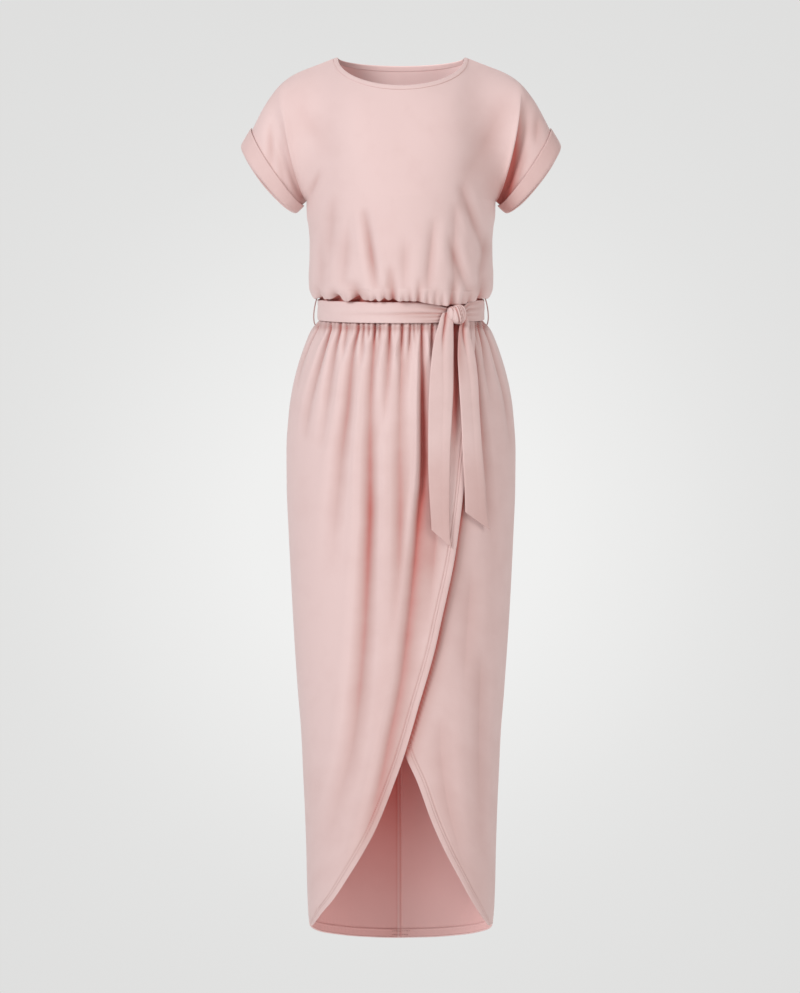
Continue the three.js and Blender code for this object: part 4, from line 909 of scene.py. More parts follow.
def bodice(name, face):
    nu, nl, nc, ns = (80, 84, 196, 26) if face < 0 else (66, 72, 150, 22)
    c = np.linspace(-1, 1, nc + 1)
    r = np.linspace(0, 1, nu + 1)
    r = mix(r, smooth(r), .35)
    Rg, Cg = np.meshgrid(r, c, indexing="ij")
    T = chest(Cg, Rg, face)
    for _ in range(30):  # even out the columns a little
        T[1:-1, 1:-1] += .25 * (T[1:-1, 2:] + T[1:-1, :-2] + T[2:, 1:-1] + T[:-2, 1:-1] - 4 * T[1:-1, 1:-1])
    ease = np.exp(-((np.abs(Cg) - .5) / .19) ** 2) * smooth((.8 - Rg) / .6)
    T = soften(T, ease, 520, [])
    kk = np.concatenate([[.05, .1, .16, .24, .34, .46, .6, .78], np.linspace(1, 4, ns)])
    m = len(kk)
    sleeves = {}
    for side in (-1, 1):
        KK, PS = np.meshgrid(kk, 180 * r, indexing="xy")
        sleeves[side] = sleeve_point(side, KK, PS, face)
    G = np.concatenate([sleeves[-1][:, ::-1], T, sleeves[1]], 1)
    cols = G.shape[1]
    # distance of each point from its armhole column
    step = np.linalg.norm(np.diff(G, axis=1), axis=2)
    run = np.concatenate([np.zeros((nu + 1, 1)), np.cumsum(step, 1)], 1)
    left, right = m, m + nc
    dist = np.minimum(np.abs(run - run[:, left:left + 1]), np.abs(run - run[:, right:right + 1]))
    row_w = (.35 + .65 * smooth((.5 - Rg[:, 0]) / .35))[:, None]
    row_w[-1] = 0
    G = soften(G, row_w * np.exp(-(dist / 20) ** 2), 90, [0])
    # the body's cloth laps over the sleeve in front of the arm and behind it
    step = np.linalg.norm(np.diff(G, axis=1), axis=2)
    run = np.concatenate([np.zeros((nu + 1, 1)), np.cumsum(step, 1)], 1)
    jump = np.zeros(G.shape[:2])
    shade = np.zeros(G.shape[:2])
    rr = Rg[:, 0][:, None]
    for side, k in ((-1, left), (1, right)):
        s = (run[:, k:k + 1] - run) if side < 0 else (run - run[:, k:k + 1])
        if face < 0:
            deep = 10.5 * smooth((rr - .16) / .42) if side > 0 else 5.4 * smooth((rr - .3) / .4)
            fall = 15.0 if side > 0 else 10.0
        else:
            deep, fall = 6 * smooth((rr - .2) / .4), 12.0
        out = np.clip(s, 0, None)
        jump += deep * (1 - np.exp(-out / .7)) * np.exp(-(out / fall) ** 1.25) * (s > 0)
        if face < 0:  # painted shade: the hollow under the arm, the sleeve beyond the lap and the body's side beside it get a darker, warmer colour
            shade += (.66 if side > 0 else .26) * np.exp(-(out / (22 if side > 0 else 27)) ** 2) * smooth((rr - (.24 if side > 0 else .42)) / .4) * (s > 0)
            shade += (.11 if side > 0 else 0) * smooth(out / 8) * (s > 0)
            shade += (.42 if side > 0 else .12) * np.exp(-(np.clip(-s, 0, None) / 11) ** 2) * smooth((rr - .6) / .3) * (s <= 0)
        jump -= .16 * deep * np.exp(-(np.clip(-s, 0, None) / 5) ** 2) * (s <= 0)
    # painted shade on the right chest and in the hollow under the right arm
    if face < 0:
        shade += .14 * np.exp(-((G[..., 0] - 130) / 30) ** 2 - ((G[..., 2] + 140) / 60) ** 2)
        shade += .34 * np.exp(-((G[..., 0] - 163) / 17) ** 2 - ((G[..., 2] + 208) / 24) ** 2)
        shade += .2 * np.exp(-((G[..., 0] - 136) / 17) ** 2 - ((G[..., 2] + 196) / 26) ** 2)
    jump[:, :2] *= .5
    # lower rings along the profile, roll included
    prof = np.arange(len(BODICE["z"]))
    ks = np.concatenate([np.linspace(0, 6, int(nl * .45))[1:], np.linspace(6, 11, nl - int(nl * .45) + 1)[1:]])
    K, Cl = np.meshgrid(ks, c, indexing="ij")
    deg = Cl * 90 if face < 0 else 180 - Cl * 90
    q, s = np.cos(np.radians(deg)), np.sin(np.radians(deg))
    half = along(prof, BODICE["half"], K)
    dep = along(prof, BODICE["front" if face < 0 else "back"], K)
    zz = along(prof, BODICE["z"], K)
    tl = along(prof, BODICE["tilt"], K)
    nx, ny = s / half, -q / dep
    ln = np.hypot(nx, ny)
    x, y = half * s, -dep * q
    # the roll's edge lies on the belt, and follows it down towards the knot
    edge = np.exp(-((K - 7.9) / .95) ** 2)
    drop = -.6 + (7.4 * smooth((x - 12) / 54) * smooth((121 - x) / 40) if face < 0 else 0)
    near = smooth((K - 4.2) / 2.6) * smooth((11 - K) / 1.5)
    set_in = np.zeros_like(x)
    lift = np.zeros_like(x)
    lip = np.exp(-((K - 8) / 1.1) ** 2)
    yy = -110 if face < 0 else 98
    for u, w, h, deep, up in (FRONT_TUCKS if face < 0 else BACK_TUCKS):
        xt, _ = seen(u, 300, yy)
        wide = w * PIXEL
        high = np.clip((zz + 357.6) / (h * PIXEL), 0, 1.2)
        lean = (u - 400) * .10 * high * (1 if face < 0 else .4)
        d = np.abs(x - xt - lean) / (wide * (1 + .5 * high))
        g = np.exp(-d ** 1.5) - .2 * np.exp(-((d - 2) / .8) ** 2)
        reach = np.where(K < 8, np.clip(1 - high, 0, 1) ** 1.2, 1) * smooth((11.2 - K) / 2.2)
        set_in += 1.3 * deep * g * reach
        lift += 1.7 * up * g * lip
    billow = noise(41 + face, x, zz, 70) * 2.0 * near * smooth((8.5 - K) / 2)
    flat = smooth((np.abs(q)) / .3)
    x = x - nx / ln * (set_in * flat - billow * flat)
    y = y - ny / ln * (set_in * flat - billow * flat)
    Lr = np.stack([x, y, zz + tl * y + lift * flat - drop * edge * flat], -1)
    nR = nu + 1 + len(ks)
    P = np.concatenate([G.reshape(-1, 3), Lr.reshape(-1, 3)])
    ids = np.arange((nu + 1) * cols).reshape(nu + 1, cols)
    low = (nu + 1) * cols + np.arange(len(ks) * (nc + 1)).reshape(len(ks), nc + 1)
    body = np.concatenate([ids[-1:, left:right + 1], low])

    def cells(g):
        return np.stack([g[:-1, :-1], g[1:, :-1], g[1:, 1:], g[:-1, 1:]], -1).reshape(-1, 4)

    Q = np.concatenate([cells(ids), cells(body)])
    if face > 0:
        Q = Q[:, ::-1]
    seam_ids = np.concatenate([ids[0, :left + 1], ids[0, right:], ids[-1, :left + 1], ids[-1, right:], low[:, 0], low[:, -1]])
    shoulder = ids[0, left:right + 1][np.abs(c) >= .4999]
    seam_ids = np.unique(np.concatenate([seam_ids, shoulder]))
    nn = vertex_normals(P, Q)
    inw = troughs(P, FRONT_TROUGHS if face < 0 else BACK_TROUGHS)
    side_fade = smooth(np.abs(P[:, 1]) / 16)
    upper = P[:, 2] > -352
    inw = inw * side_fade * upper
    jumps = np.concatenate([jump.ravel(), np.zeros(low.size)]) * smooth(np.abs(P[:, 1]) / 13)
    P = P - nn * (inw + jumps)[:, None]
    P = P + nn * (noise(51 + face, P[:, 0], P[:, 2], 150) * .9 * side_fade * upper)[:, None]
    P[seam_ids, 1] = face * SEAM
    tuck_fold = np.concatenate([np.zeros(ids.size), np.clip(set_in * flat, 0, None).ravel()])
    # painted shade on the roll's underside
    roll_underside_shade = np.concatenate([np.zeros(ids.size), (.85 * smooth((K - 7.7) / .9)).ravel()])
    # painted shade from the troughs, the arm laps and the tucks, added to the painted shade above
    fold = np.clip(inw, 0, None) / 9 + np.clip(jumps, 0, None) / 12 + np.clip(tuck_fold / 8.4, 0, .74)
    fold = np.clip(fold + np.concatenate([shade.ravel(), np.zeros(low.size)]) + roll_underside_shade, 0, 1)
    uv = np.stack([P[:, 0] * 1.15, P[:, 2]], -1)
    # inner face: painted shade below the neck and on the upper left, painted glow near the neck, strongest on the back
    # and towards the right
    return wall(name, P, Q, WALL, uv, {"fold": fold, "deep": np.clip(.44 * smooth((-30 - P[:, 2]) / 50) + .34 * smooth((-36 - P[:, 0]) / 50) * smooth((P[:, 2] + 80) / 30), 0, 1), "painted_glow": smooth((P[:, 2] + 75) / 45) * (1 if face > 0 else .35) * (.3 + .7 * smooth((P[:, 0] + 86) / 76))}, [(seam_ids, 1)])


bodice_f = bodice("bodice_f", -1)
bodice_b = bodice("bodice_b", 1)


# ------------------------------------------------------------------ neck band and cuffs
def neck_band():
    n = 220
    deg = np.arange(n) * 360 / n
    a, b = neck_point(NECK_IN, deg), neck_point(NECK_OUT, deg)
    across = b - a
    wide = np.linalg.norm(across, axis=1, keepdims=True)
    across /= wide
    ahead = np.roll(a, -1, 0) - np.roll(a, 1, 0)
    ahead /= np.linalg.norm(ahead, axis=1, keepdims=True)
    down = np.cross(across, ahead)
    down *= np.where(down[:, 2:3] > 0, -1, 1)
    # outline of the band's section: across the face, with a soft puff and a rolled inner edge
    t = np.array([0, .03, .1, .25, .45, .65, .84, .93, .97, 1.0, 1.0, .97, .8, .5, .2, .06, 0])
    h = np.array([.75, .3, .02, -.22, -.3, -.26, -.1, .12, .5, .9, 1.5, 1.9, 2.0, 2.0, 2.0, 1.8, 1.35])
    sec = a[:, None] + across[:, None] * (t[None, :, None] * wide[:, None]) + down[:, None] * h[None, :, None]
    # painted shade along the band's lower outer edge, stronger towards the right, and inside its back on the left; a
    # painted glow on the inside of its back, stronger towards the right
    rear = smooth(-np.cos(np.radians(deg)) / .25)[:, None] * np.isin(np.arange(17), [0, 1, 10, 11, 12, 13, 14, 15, 16])[None]
    return loft("neck", sec, True, attrs={"fold": (np.where(np.isin(np.arange(17), [7, 8, 9]), .35, 0)[None] * (.15 + .85 * smooth((a[:, :1] + 78) / 60)) + .55 * rear * smooth((-52 - a[:, :1]) / 40)).ravel(), "inside": rear.ravel().astype(float), "painted_glow": (1.35 * rear * (.35 + .65 * smooth((a[:, :1] + 88) / 70))).ravel()})


def cuff(side):
    n = 150
    k0, k1 = 3.0, 4.0

    def point(t, out, deg_i):
        face = -1 if deg_i < n // 2 else 1
        psi = deg_i * 360 / n if face < 0 else 360 - deg_i * 360 / n
        row = {m: mix(SLEEVE[m][3], SLEEVE[m][4], t) for m in SLEEVE}
        cx, cz = (row["topX"] + row["lowX"]) / 2, (row["topZ"] + row["lowZ"]) / 2
        ax, az = (row["topX"] - row["lowX"]) / 2, (row["topZ"] - row["lowZ"]) / 2
        ln = math.hypot(ax, az)
        ux, uz = ax / ln, az / ln
        wx, wz = uz, -ux
        c, s = math.cos(math.radians(psi)), math.sin(math.radians(psi))
        depth = row["front"] if face < 0 else row["back"]
        n1, n2 = c / ln, s / depth
        m = math.hypot(n1, n2)
        aa, d = ln * c + n1 / m * out, depth * s + n2 / m * out
        return [side * (cx + ux * aa + wx * row["bow"] * s), face * d, cz + uz * aa + wz * row["bow"] * s]

    # section: slot behind the free upper edge, outer face, rounded turn, inner face
    shape = [(.42, .95), (.25, 1.3), (.08, 1.45), (.0, 1.6), (-.03, 2.1), (-.01, 2.8), (.05, 3.2), (.15, 3.35), (.4, 3.4), (.7, 3.4), (.95, 3.3),
             (1.08, 3.0), (1.155, 2.4), (1.19, 1.4), (1.2, .4), (1.18, -.6), (1.12, -1.15), (1.04, -1.0), (1.0, -.2), (.7, .45), (.5, .45)]
    ease = lambda i: 0.5 * math.sin(i / n * 2 * math.pi * 3 + side) + .35 * math.sin(i / n * 2 * math.pi * 7 + 2 * side)
    sec = np.array([[point(t + (0.012 * ease(i) if j < 9 else 0.02 * ease(i + 5)), o + (0.18 * ease(i * 2) if 3 < j < 10 else 0), i) for j, (t, o) in enumerate(shape)] for i in range(n)])
    psi = np.abs((np.arange(n) * 360 / n + 180) % 360 - 180)  # 0 above the arm, 180 beneath it
    # painted shade: in the slot behind the free upper edge, towards the underside of the arm, and over the whole right
    # cuff, which faces from the light
    tone = (.27 + .36 * smooth((psi - 110) / 55)) if side > 0 else (.15 + .1 * smooth((psi - 130) / 40))
    f = np.clip(np.where(np.arange(len(shape)) < 3, .9, 0)[None] + tone[:, None], 0, 1).ravel()
    return loft("cuff", sec, True, attrs={"fold": f, "inside": np.zeros(len(shape) * n)})


neck = neck_band()
cuff_l, cuff_r = cuff(-1), cuff(1)

# ------------------------------------------------------------------ belt
KNOT_DEG = 39.2


def belt_ring(deg, drop, out):
    c, s = np.cos(np.radians(deg)), np.sin(np.radians(deg))
    half = 121.3 + out
    depth = np.where(c > 0, 99.8, 95.4) + out
    y = -depth * c
    return np.stack([half * s, y, BELT_TOP - drop + WAIST_TILT * y], -1)


def belt_band():
    n = 520
    deg = np.linspace(-180, 180, n, endpoint=False)
    gapL = (KNOT_DEG - 6 - deg) * math.pi / 180 * 112      # mm left of the knot's left side
    gapR = (deg - KNOT_DEG - 5) * math.pi / 180 * 112
    pinch = np.where(deg < KNOT_DEG, np.exp(-np.clip(gapL, 0, None) / 26), np.exp(-np.clip(gapR, 0, None) / 15))
    top = np.where(deg < KNOT_DEG, 9.0 * np.clip(1 - np.clip(gapL, 0, None) / 54, 0, 1) ** 2, 9.4 * smooth(1 - np.clip(gapR, 0, None) / 22))
    bot = BELT_HEIGHT - np.where(deg < KNOT_DEG, .6, 2.5) * pinch
    h = np.array([0, .015, .05, .1, .16, .22, .28, .34, .4, .46, .52, .58, .64, .7, .76, .82, .88, .93, .97, .99, 1.0])
    P = []
    fold = []
    L = np.clip(gapL, 0, None)
    Rr = np.clip(gapR, 0, None)
    left = deg < KNOT_DEG
    grooves = [  # (height at the knot, height far away, depth, reach, width)
        (.16, .22, .8, 30, .05), (.44, .60, 2.6, 92, .042), (.62, .72, 2.2, 44, .035), (.82, .90, 1.2, 26, .03)]
    grooves_r = [(.24, .06, 1.9, 40, .05), (.46, .36, 2.1, 38, .05), (.66, .68, 1.7, 32, .05), (.84, .93, 1.2, 24, .04)]
    for hh in h:
        o = np.full(n, 2.25)
        o = o + noise(61, deg * 2, 0 * deg + hh * 40, 70) * .35 * (1 - smooth((np.abs(deg) - 150) / 28))
        # f is painted shade, added in each groove below
        f = np.zeros(n)
        for a, b, d, reach, w in grooves:
            at = mix(b, a, np.exp(-L / (reach * .6)))
            g = np.exp(-((hh - at) / (w * mix(1.0, 1.7, np.clip(L / reach, 0, 1)))) ** 2) * np.exp(-(L / reach) ** 2) * left
            o -= d * g
            f += .5 * g
            o += .35 * d * np.exp(-((hh - at + .085) / .055) ** 2) * np.exp(-(L / reach) ** 2) * left
        for a, b, d, reach, w in grooves_r:
            at = mix(b, a, np.exp(-Rr / (reach * .6)))
            g = np.exp(-((hh - at) / w) ** 2) * np.exp(-(Rr / reach) ** 2) * (~left)
            o -= d * g
            f += .5 * g
            o += .4 * d * np.exp(-((hh - at + .09) / .06) ** 2) * np.exp(-(Rr / reach) ** 2) * (~left)
        # soft long ripples of a pressed strip
        o += .25 * np.sin(hh * 9 + deg * math.pi / 60)
        edge = min(hh, 1 - hh)
        o -= 1.0 * max(0, 1 - edge / .05) ** 2
        P.append(belt_ring(deg, mix(top, bot, hh), o))
        fold.append(f)
    inner_h = [.99, .8, .6, .4, .2, .01]
    for hh in inner_h:
        P.append(belt_ring(deg, mix(top, bot, hh), np.full(n, .05)))
        fold.append(np.zeros(n))
    sec = np.stack(P, 1)
    # painted shade on the belt's right front, which turns from the light; it fades out again behind the side seam, so
    # that the ring closes in one tone
    tone = (.02 + .2 * smooth((deg + 16) / 44) * (1 - smooth((deg - 92) / 78)))[:, None]
    return loft("belt", sec, True, attrs={"fold": np.clip(np.stack(fold, 1) + tone, 0, 1), "inside": np.zeros(sec.shape[:2])})


def frame_at(deg):
    out = np.array([math.sin(math.radians(deg)), -math.cos(math.radians(deg)) * 1.22, 0])
    out /= np.linalg.norm(out)
    side = np.array([-out[1], out[0], 0])
    return side, out


def blob(name, centre, side, out, up, size, grooves, power=.82, twist=0.0, lean=0.0):
    """Rounded lump of wound cloth: grooves are (place across, width, depth, bend)."""
    nu, nv = 72, 48
    U = np.linspace(0, 2 * math.pi, nu, endpoint=False)
    V = np.linspace(0, math.pi, nv + 1)
    Vg, Ug = np.meshgrid(V, U, indexing="ij")
    sq = lambda t: np.sign(t) * np.abs(t) ** power
    a = sq(np.sin(Vg) * np.cos(Ug))       # across
    o = sq(np.sin(Vg) * np.sin(Ug))       # out
    z = sq(np.cos(Vg))                    # up
    front = smooth((o + .25) / .5)
    d = np.zeros_like(a)
    f = np.zeros_like(a)
    for g in grooves:
        place, width, deep, bend = g
        q = a - place - bend * (z * z) - lean * z
        k = np.exp(-(q / width) ** 2) * front
        d -= deep * k
        # painted shade in the groove
        f += .66 * k
    a2 = a * size[0]
    o2 = np.maximum(-.9, o) * size[1]
    z2 = z * size[2]
    n = np.stack([a / size[0], o / size[1], z / size[2]], -1)
    n /= np.linalg.norm(n, axis=-1, keepdims=True) + 1e-9
    a2, o2, z2 = a2 + n[..., 0] * d, o2 + n[..., 1] * d, z2 + n[..., 2] * d
    P = centre + a2[..., None] * side + o2[..., None] * out + z2[..., None] * up
    pole0, pole1 = P[0].mean(0), P[-1].mean(0)
    body = P[1:-1].reshape(-1, 3)
    R = nv - 1
    q = grid_quads(R, nu, 0, wrap=True)
    top, bot = len(body), len(body) + 1
    caps = []
    for j in range(0, nu, 2):
        caps.append([top, j, (j + 1) % nu, (j + 2) % nu])
        e = (R - 1) * nu
        caps.append([bot, e + (j + 2) % nu, e + (j + 1) % nu, e + j])
    q = np.concatenate([q, np.array(caps)])
    pts = np.concatenate([body, [pole0, pole1]])
    c = pts.mean(0)
    v0, v1, v2 = pts[q[:, 0]] - c, pts[q[:, 1]] - c, pts[q[:, 2]] - c
    if np.einsum("ij,ij->i", v0, np.cross(v1, v2)).sum() < 0:
        q = q[:, ::-1]
    # painted shade: the grooves, and a little over the whole lump
    fv = np.concatenate([f[1:-1].ravel(), [0, 0]]) + .1
    uv = np.concatenate([np.stack([Ug[1:-1] * 14, Vg[1:-1] * 20], -1).reshape(-1, 2), [[0, 0], [0, 60]]])
    return build(name, pts, q, uv, {"fold": np.clip(fv, 0, 1), "inside": np.zeros(len(pts))})


def skirt_front_at(x, z, out):
    """Point just outside the skirt's front at x and z. z is the true height."""
    zz = np.asarray(z, float)
    raw = zz.copy()
    for _ in range(6):
        half = col(SKIRT, "half", raw)
        deg = np.degrees(np.arcsin(np.clip(x / half, -.99, .99)))
        p = ring(SKIRT, raw, deg, out)
        raw = raw + (zz - p[..., 2])
    p = ring(SKIRT, raw, deg, out)
    return p


TAIL_LEFT = table("z left right out",
    (-384, 56, 67, 11), (-392, 52.6, 68.6, 11), (-402, 50.6, 70, 9.8), (-420, 47, 72.2, 6.8), (-441, 43.8, 73.4, 4.8),
    (-492, 39.8, 73.6, 3.8), (-540, 38.4, 71.8, 3.6), (-595, 38.4, 69.6, 3.6), (-655, 40.4, 68.4, 3.8), (-698, 42.9, 68.2, 4.2), (-726, 43.8, 70.4, 4.4))
TAIL_RIGHT = table("z left right out",
    (-384, 83.4, 86.6, 11), (-394, 80.6, 88.6, 11), (-404, 79.6, 91.4, 9.2), (-420, 79.4, 96, 6.8), (-441, 79.4, 102.6, 5.6),
    (-492, 81.6, 109.2, 5), (-544, 84.6, 112.4, 4.8), (-600, 87, 115.8, 4.8), (-647, 89.6, 119, 4.8), (-674.3, 90.4, 121.2, 4.8), (-702, 92.4, 124.8, 4.8))


def tail(name, tab, cut, seed):
    """cut: height of the slanted end at the left and the right edge."""
    R, C = 190, 34
    t = np.linspace(0, 1, R)
    e = np.concatenate([[0, .012, .035], np.linspace(.07, .93, C - 6), [.965, .988, 1]])
    top = tab["z"][0]
    T, E = np.meshgrid(t, e, indexing="ij")
    # each column runs from the knot to the slanted cut
    end = mix(cut[0], cut[1], E)
    Z = mix(top, end, T)
    left, right = along(tab["z"], tab["left"], Z), along(tab["z"], tab["right"], Z)
    X = mix(left, right, E)
    wide = right - left
    o = along(tab["z"], tab["out"], Z)
    low = smooth((-405 - Z) / 60)
    # a loose strip: one long fold near its top, a slow twist and a lazy wave
    f1 = along([-388, -410, -450, -520, -620, -740], [.42, .44, .52, .6, .62, .6], Z)
    g1 = along([-388, -410, -450, -520, -620, -740], [2.6, 2.4, 1.5, .8, .5, .3], Z)
    groove = 1.5 * g1 * np.exp(-np.abs((E - f1) * wide / 1.9) ** 1.6) * (.12 + .88 * smooth((Z + 455) / 50))
    ridge = .5 * g1 * np.exp(-((E - f1 - .2) * wide / 4.5) ** 2)
    wave = noise(seed, X, Z * .6, 70) * 1.0 * low
    roll = .9 * np.clip(1 - np.minimum(E, 1 - E) * wide / 1.3, 0, 1) ** 2
    tilt = (E - .5) * along([-388, -450, -560, -650, -740], [2.5, 1.2, -1.0, 1.4, 2.4], Z)
    P = skirt_front_at(X, Z, o + 2.3 - groove + ridge + wave + tilt - roll)
    uv = np.stack([E * wide, Z], -1).reshape(-1, 2)
    # painted shade: a little over the whole tail, more in its groove and towards the cut end
    fold = .15 + .8 * np.clip(groove / 4, 0, 1) + .24 * smooth((-560 - Z) / 110)
    if seed == 72:  # the right tail turns its left edge away from the light
        # painted shade along the right tail's left edge
        fold = fold + .42 * np.exp(-(E / .34) ** 2) * smooth((Z + 500) / 60)
    else:
        # painted shade along the left tail's right edge
        fold = fold + .2 * np.exp(-((E - 1) / .14) ** 2) * smooth((Z + 520) / 60)
    fold = np.clip(fold, 0, 1).ravel()
    return wall(name, P.reshape(-1, 3), grid_quads(R, C), 2.0, uv, {"fold": fold})


belt = belt_band()
side_v, out_v = frame_at(KNOT_DEG)
up_v = np.array([0, 0, 1.0])
knot_c = belt_ring(np.array(KNOT_DEG), 18.4, 2.4 + 8.4) - side_v * 1.6
wrap = blob("wrap", knot_c + side_v * .9, side_v, out_v, up_v, (11.6, 10.2, 14.2),
            [(-.56, .09, 3.0, .1), (-.16, .06, 2.6, .05), (.12, .055, 2.6, 0), (.5, .08, 3.0, -.05)], lean=-.34, power=.8)
lobe = blob("lobe", knot_c - side_v * 8.8 - out_v * 2.0 + up_v * 1.2, side_v, out_v, up_v, (6.8, 7.2, 10.4),
            [(-.1, .1, 1.5, .06), (.4, .1, 1.5, .0)], lean=-.5)
right_lobe = blob("right_lobe", knot_c + side_v * 9.6 - out_v * 3.4 + up_v * .4, side_v, out_v, up_v, (5.0, 5.8, 10.2),
                  [(.1, .12, 1.6, .0)], lean=-.3)
knot = join("knot", [wrap, lobe, right_lobe])
tail_l = tail("tail_l", TAIL_LEFT, (-698.5, -724), 71)
tail_r = tail("tail_r", TAIL_RIGHT, (-673, -698.5), 72)


def loop(side):
    path = np.array([(124.6, 0, -357.4), (126, 0, -362), (127.6, 0, -369), (128.8, 0, -377), (129.2, 0, -385), (128.6, 0, -392), (127.2, 0, -396.5)])
    t = np.linspace(0, 1, len(path))
    q = np.linspace(0, 1, 90)
    p = np.stack([along(t, path[:, k], q) for k in range(3)], 1)
    p[:, 0] *= side
    d = np.gradient(p, axis=0)
    d /= np.linalg.norm(d, axis=1, keepdims=True)
    y = np.array([0, 1.0, 0])
    x = np.cross(y, d)
    strands = []
    for s in range(3):
        a = q * 2 * math.pi * 9 + s * 2 * math.pi / 3
        c = p + .48 * (np.cos(a)[:, None] * x + np.sin(a)[:, None] * y)
        m = np.arange(6) / 6 * 2 * math.pi
        sec = c[:, None] + .5 * (np.cos(m)[None, :, None] * x[:, None] + np.sin(m)[None, :, None] * y)
        strands.append(loft("strand", sec, False, attrs={"fold": np.full((90, 6), .2), "inside": np.zeros((90, 6))}))
    return join("loop", strands)


loop_l, loop_r = loop(-1), loop(1)

# ------------------------------------------------------------------ stitching
st = []
for i in range(2):
    st.append(dress_stitches(stitches("stitch_over_%d" % (i + 1), *over_rows[i])))
    st.append(dress_stitches(stitches("stitch_under_%d" % (i + 1), *under_rows[i])))
st.append(dress_stitches(stitches("stitch_hem_r", br_path, br_n)))
st.append(dress_stitches(stitches("stitch_hem_l", bl_path, bl_n)))


def catch_row(height):
    """Inner face of the back hem, height mm above its edge, from 15 mm left of the seam to 14 mm right."""
    pts, nor = [], []
    for (P, n, rows), side in ((bl_grid, -1), (br_grid, 1)):
        i = int(np.argmin(np.abs(rows + 1282 - height)))
        for j in range(P.shape[1]):
            x = P[i, j, 0]
            if -15 < x < 14 and abs(x) > .3:
                deep = HEM_WALL + .35 + (1.7 * float(smooth((5.8 + x) / 1.6)) if side < 0 else 0)
                pts.append(P[i, j] - n[i, j] * deep)
                nor.append(-n[i, j])
    order = np.argsort([q[0] for q in pts])
    return np.array(pts)[order], np.array(nor)[order]


for k, high in enumerate((5.2, 9.6)):
    st.append(dress_stitches(stitches("stitch_catch_%d" % (k + 1), *catch_row(high), length=2.0, gap=.6, radius=.36, lift=.25), CATCH))


def area(ob):
    return sum(p.area for p in ob.data.polygons) / 2


# ------------------------------------------------------------------ frame pieces
finish_piece(bodice_f, ["bodice_front"], CLOTH)
finish_piece(bodice_b, ["bodice_back"], CLOTH)
finish_piece(neck, ["neck_band"], CLOTH)
finish_piece(cuff_l, ["cuff_left"], CLOTH)
finish_piece(cuff_r, ["cuff_right"], CLOTH)
finish_piece(over, ["skirt_front_over"], CLOTH)
finish_piece(under, ["skirt_front_under"], CLOTH)
finish_piece(back_r, ["skirt_back_right"], CLOTH)
finish_piece(back_l, ["skirt_back_left"], CLOTH)
finish_piece(belt, ["belt_band"], BELT_LIT)
finish_piece(knot, ["belt_knot"], BELT_LIT)
finish_piece(tail_l, ["belt_tail_left"], BELT_LIT)
finish_piece(tail_r, ["belt_tail_right"], BELT_LIT)
finish_piece(loop_l, ["belt_loop_left"], THREAD)
finish_piece(loop_r, ["belt_loop_right"], THREAD)

# ------------------------------------------------------------------ studio
def backdrop_paper():
    """Seamless paper with a soft pool of light painted on it, so that it needs no lamp."""
    mat = bpy.data.materials.new("paper")
    nt, N, L = nodes_of(mat)
    out = N.new("ShaderNodeOutputMaterial")
    em = N.new("ShaderNodeEmission")
    co = N.new("ShaderNodeTexCoord")
    sep = N.new("ShaderNodeSeparateXYZ")
    L.new(co.outputs["Object"], sep.inputs["Vector"])
    flat = N.new("ShaderNodeCombineXYZ")
    L.new(sep.outputs["X"], flat.inputs["X"])
    L.new(sep.outputs["Z"], flat.inputs["Y"])
    far = N.new("ShaderNodeVectorMath")
    far.operation = "DISTANCE"
    L.new(flat.outputs["Vector"], far.inputs[0])
    far.inputs[1].default_value = (0, -0.72, 0)
    ramp = N.new("ShaderNodeValToRGB")
    ramp.color_ramp.interpolation = "B_SPLINE"
    px = .002302
    stops = [(0, .885), (150, .872), (205, .845), (260, .825), (320, .797), (400, .768), (500, .752), (640, .735)]
    scale = N.new("ShaderNodeMath")
    scale.operation = "MULTIPLY"
    scale.inputs[1].default_value = 1 / (640 * px)
    L.new(far.outputs["Value"], scale.inputs[0])
    L.new(scale.outputs["Value"], ramp.inputs["Fac"])
    el = ramp.color_ramp.elements
    while len(el) < len(stops):
        el.new(.5)
    for e, (r, v) in zip(el, stops):
        e.position = r / 640
        e.color = (v, v, v * .992, 1)
    L.new(ramp.outputs["Color"], em.inputs["Color"])
    geo = N.new("ShaderNodeNewGeometry")
    clear = N.new("ShaderNodeBsdfTransparent")
    pick = N.new("ShaderNodeMixShader")
    L.new(geo.outputs["Backfacing"], pick.inputs["Fac"])
    L.new(em.outputs["Emission"], pick.inputs[1])
    L.new(clear.outputs["BSDF"], pick.inputs[2])
    L.new(pick.outputs["Shader"], out.inputs["Surface"])
    return mat


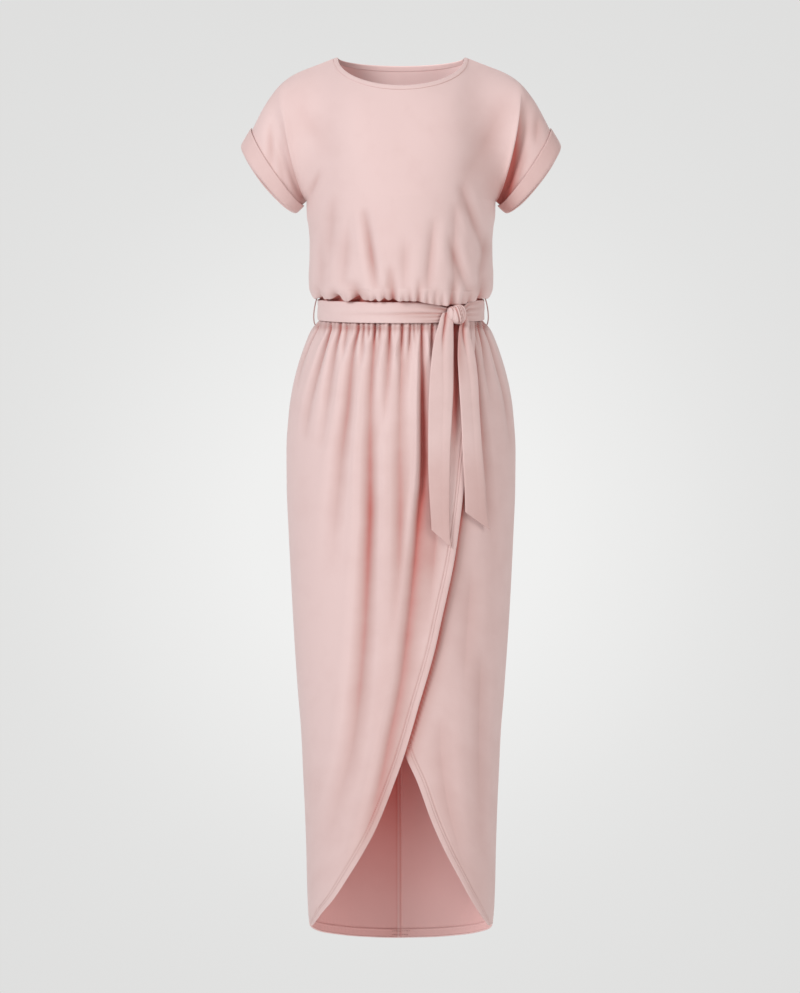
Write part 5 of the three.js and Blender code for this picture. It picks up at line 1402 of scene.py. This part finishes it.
def sweep_stage():
    pts = []
    floor, radius, wall_y = -2.75, .7, 2.5
    for y in np.linspace(-6.5, wall_y - radius, 8):
        pts.append((y, floor))
    for a in np.linspace(0, 90, 12)[1:]:
        pts.append((wall_y - radius + radius * math.sin(math.radians(a)), floor + radius * (1 - math.cos(math.radians(a)))))
    pts.append((wall_y, 3.5))
    V, F = [], []
    for y, z in pts:
        V += [(-6, y, z), (6, y, z)]
    for i in range(len(pts) - 1):
        F.append((2 * i, 2 * i + 1, 2 * i + 3, 2 * i + 2))
    me = bpy.data.meshes.new("stage")
    me.from_pydata(V, [], F)
    ob = bpy.data.objects.new("stage", me)
    bpy.context.scene.collection.objects.link(ob)
    me.materials.append(backdrop_paper())


sweep_stage()
cam_data = bpy.data.cameras.new("camera")
cam_data.lens = 36 * EYE / (993 * PIXEL)
cam_data.sensor_width = 36
cam_data.clip_end = 60
cam = bpy.data.objects.new("camera", cam_data)
cam.location = (-1.5 * MM, -EYE * MM, EYE_Z * MM)
cam.rotation_euler = (math.radians(90), 0, 0)
bpy.context.scene.collection.objects.link(cam)
bpy.context.scene.camera = cam


def area_light(name, loc, aim, size, power, colour=(1, 1, 1)):
    d = bpy.data.lights.new(name, "AREA")
    d.shape = "RECTANGLE"
    d.size, d.size_y = size
    d.energy = power
    d.color = colour
    o = bpy.data.objects.new(name, d)
    o.location = loc
    v = np.array(aim, float) - np.array(loc, float)
    from mathutils import Vector
    o.rotation_euler = Vector(v).to_track_quat("-Z", "Y").to_euler()
    bpy.context.scene.collection.objects.link(o)
    return o


area_light("key", (-2.75, -2.8, 1.2), (0, 0, -0.55), (1.2, 1.6), 92, (1, 1, 1.01))
area_light("fill", (3.0, -2.8, 0.6), (0, 0, -0.5), (2.0, 2.2), 45, (1, .94, .905))
area_light("top", (0, -0.6, 2.6), (0, 0, -0.4), (2.2, 1.6), 16)
area_light("low", (0.5, -2.6, -1.9), (0, 0.1, -1.1), (1.8, .5), 14, (1, .96, .94))
world = bpy.data.worlds.new("world")
world.use_nodes = True
world.node_tree.nodes["Background"].inputs["Color"].default_value = (1, .95, .935, 1)
world.node_tree.nodes["Background"].inputs["Strength"].default_value = 0.26
bpy.context.scene.world = world
bpy.context.scene.view_settings.view_transform = "Standard"
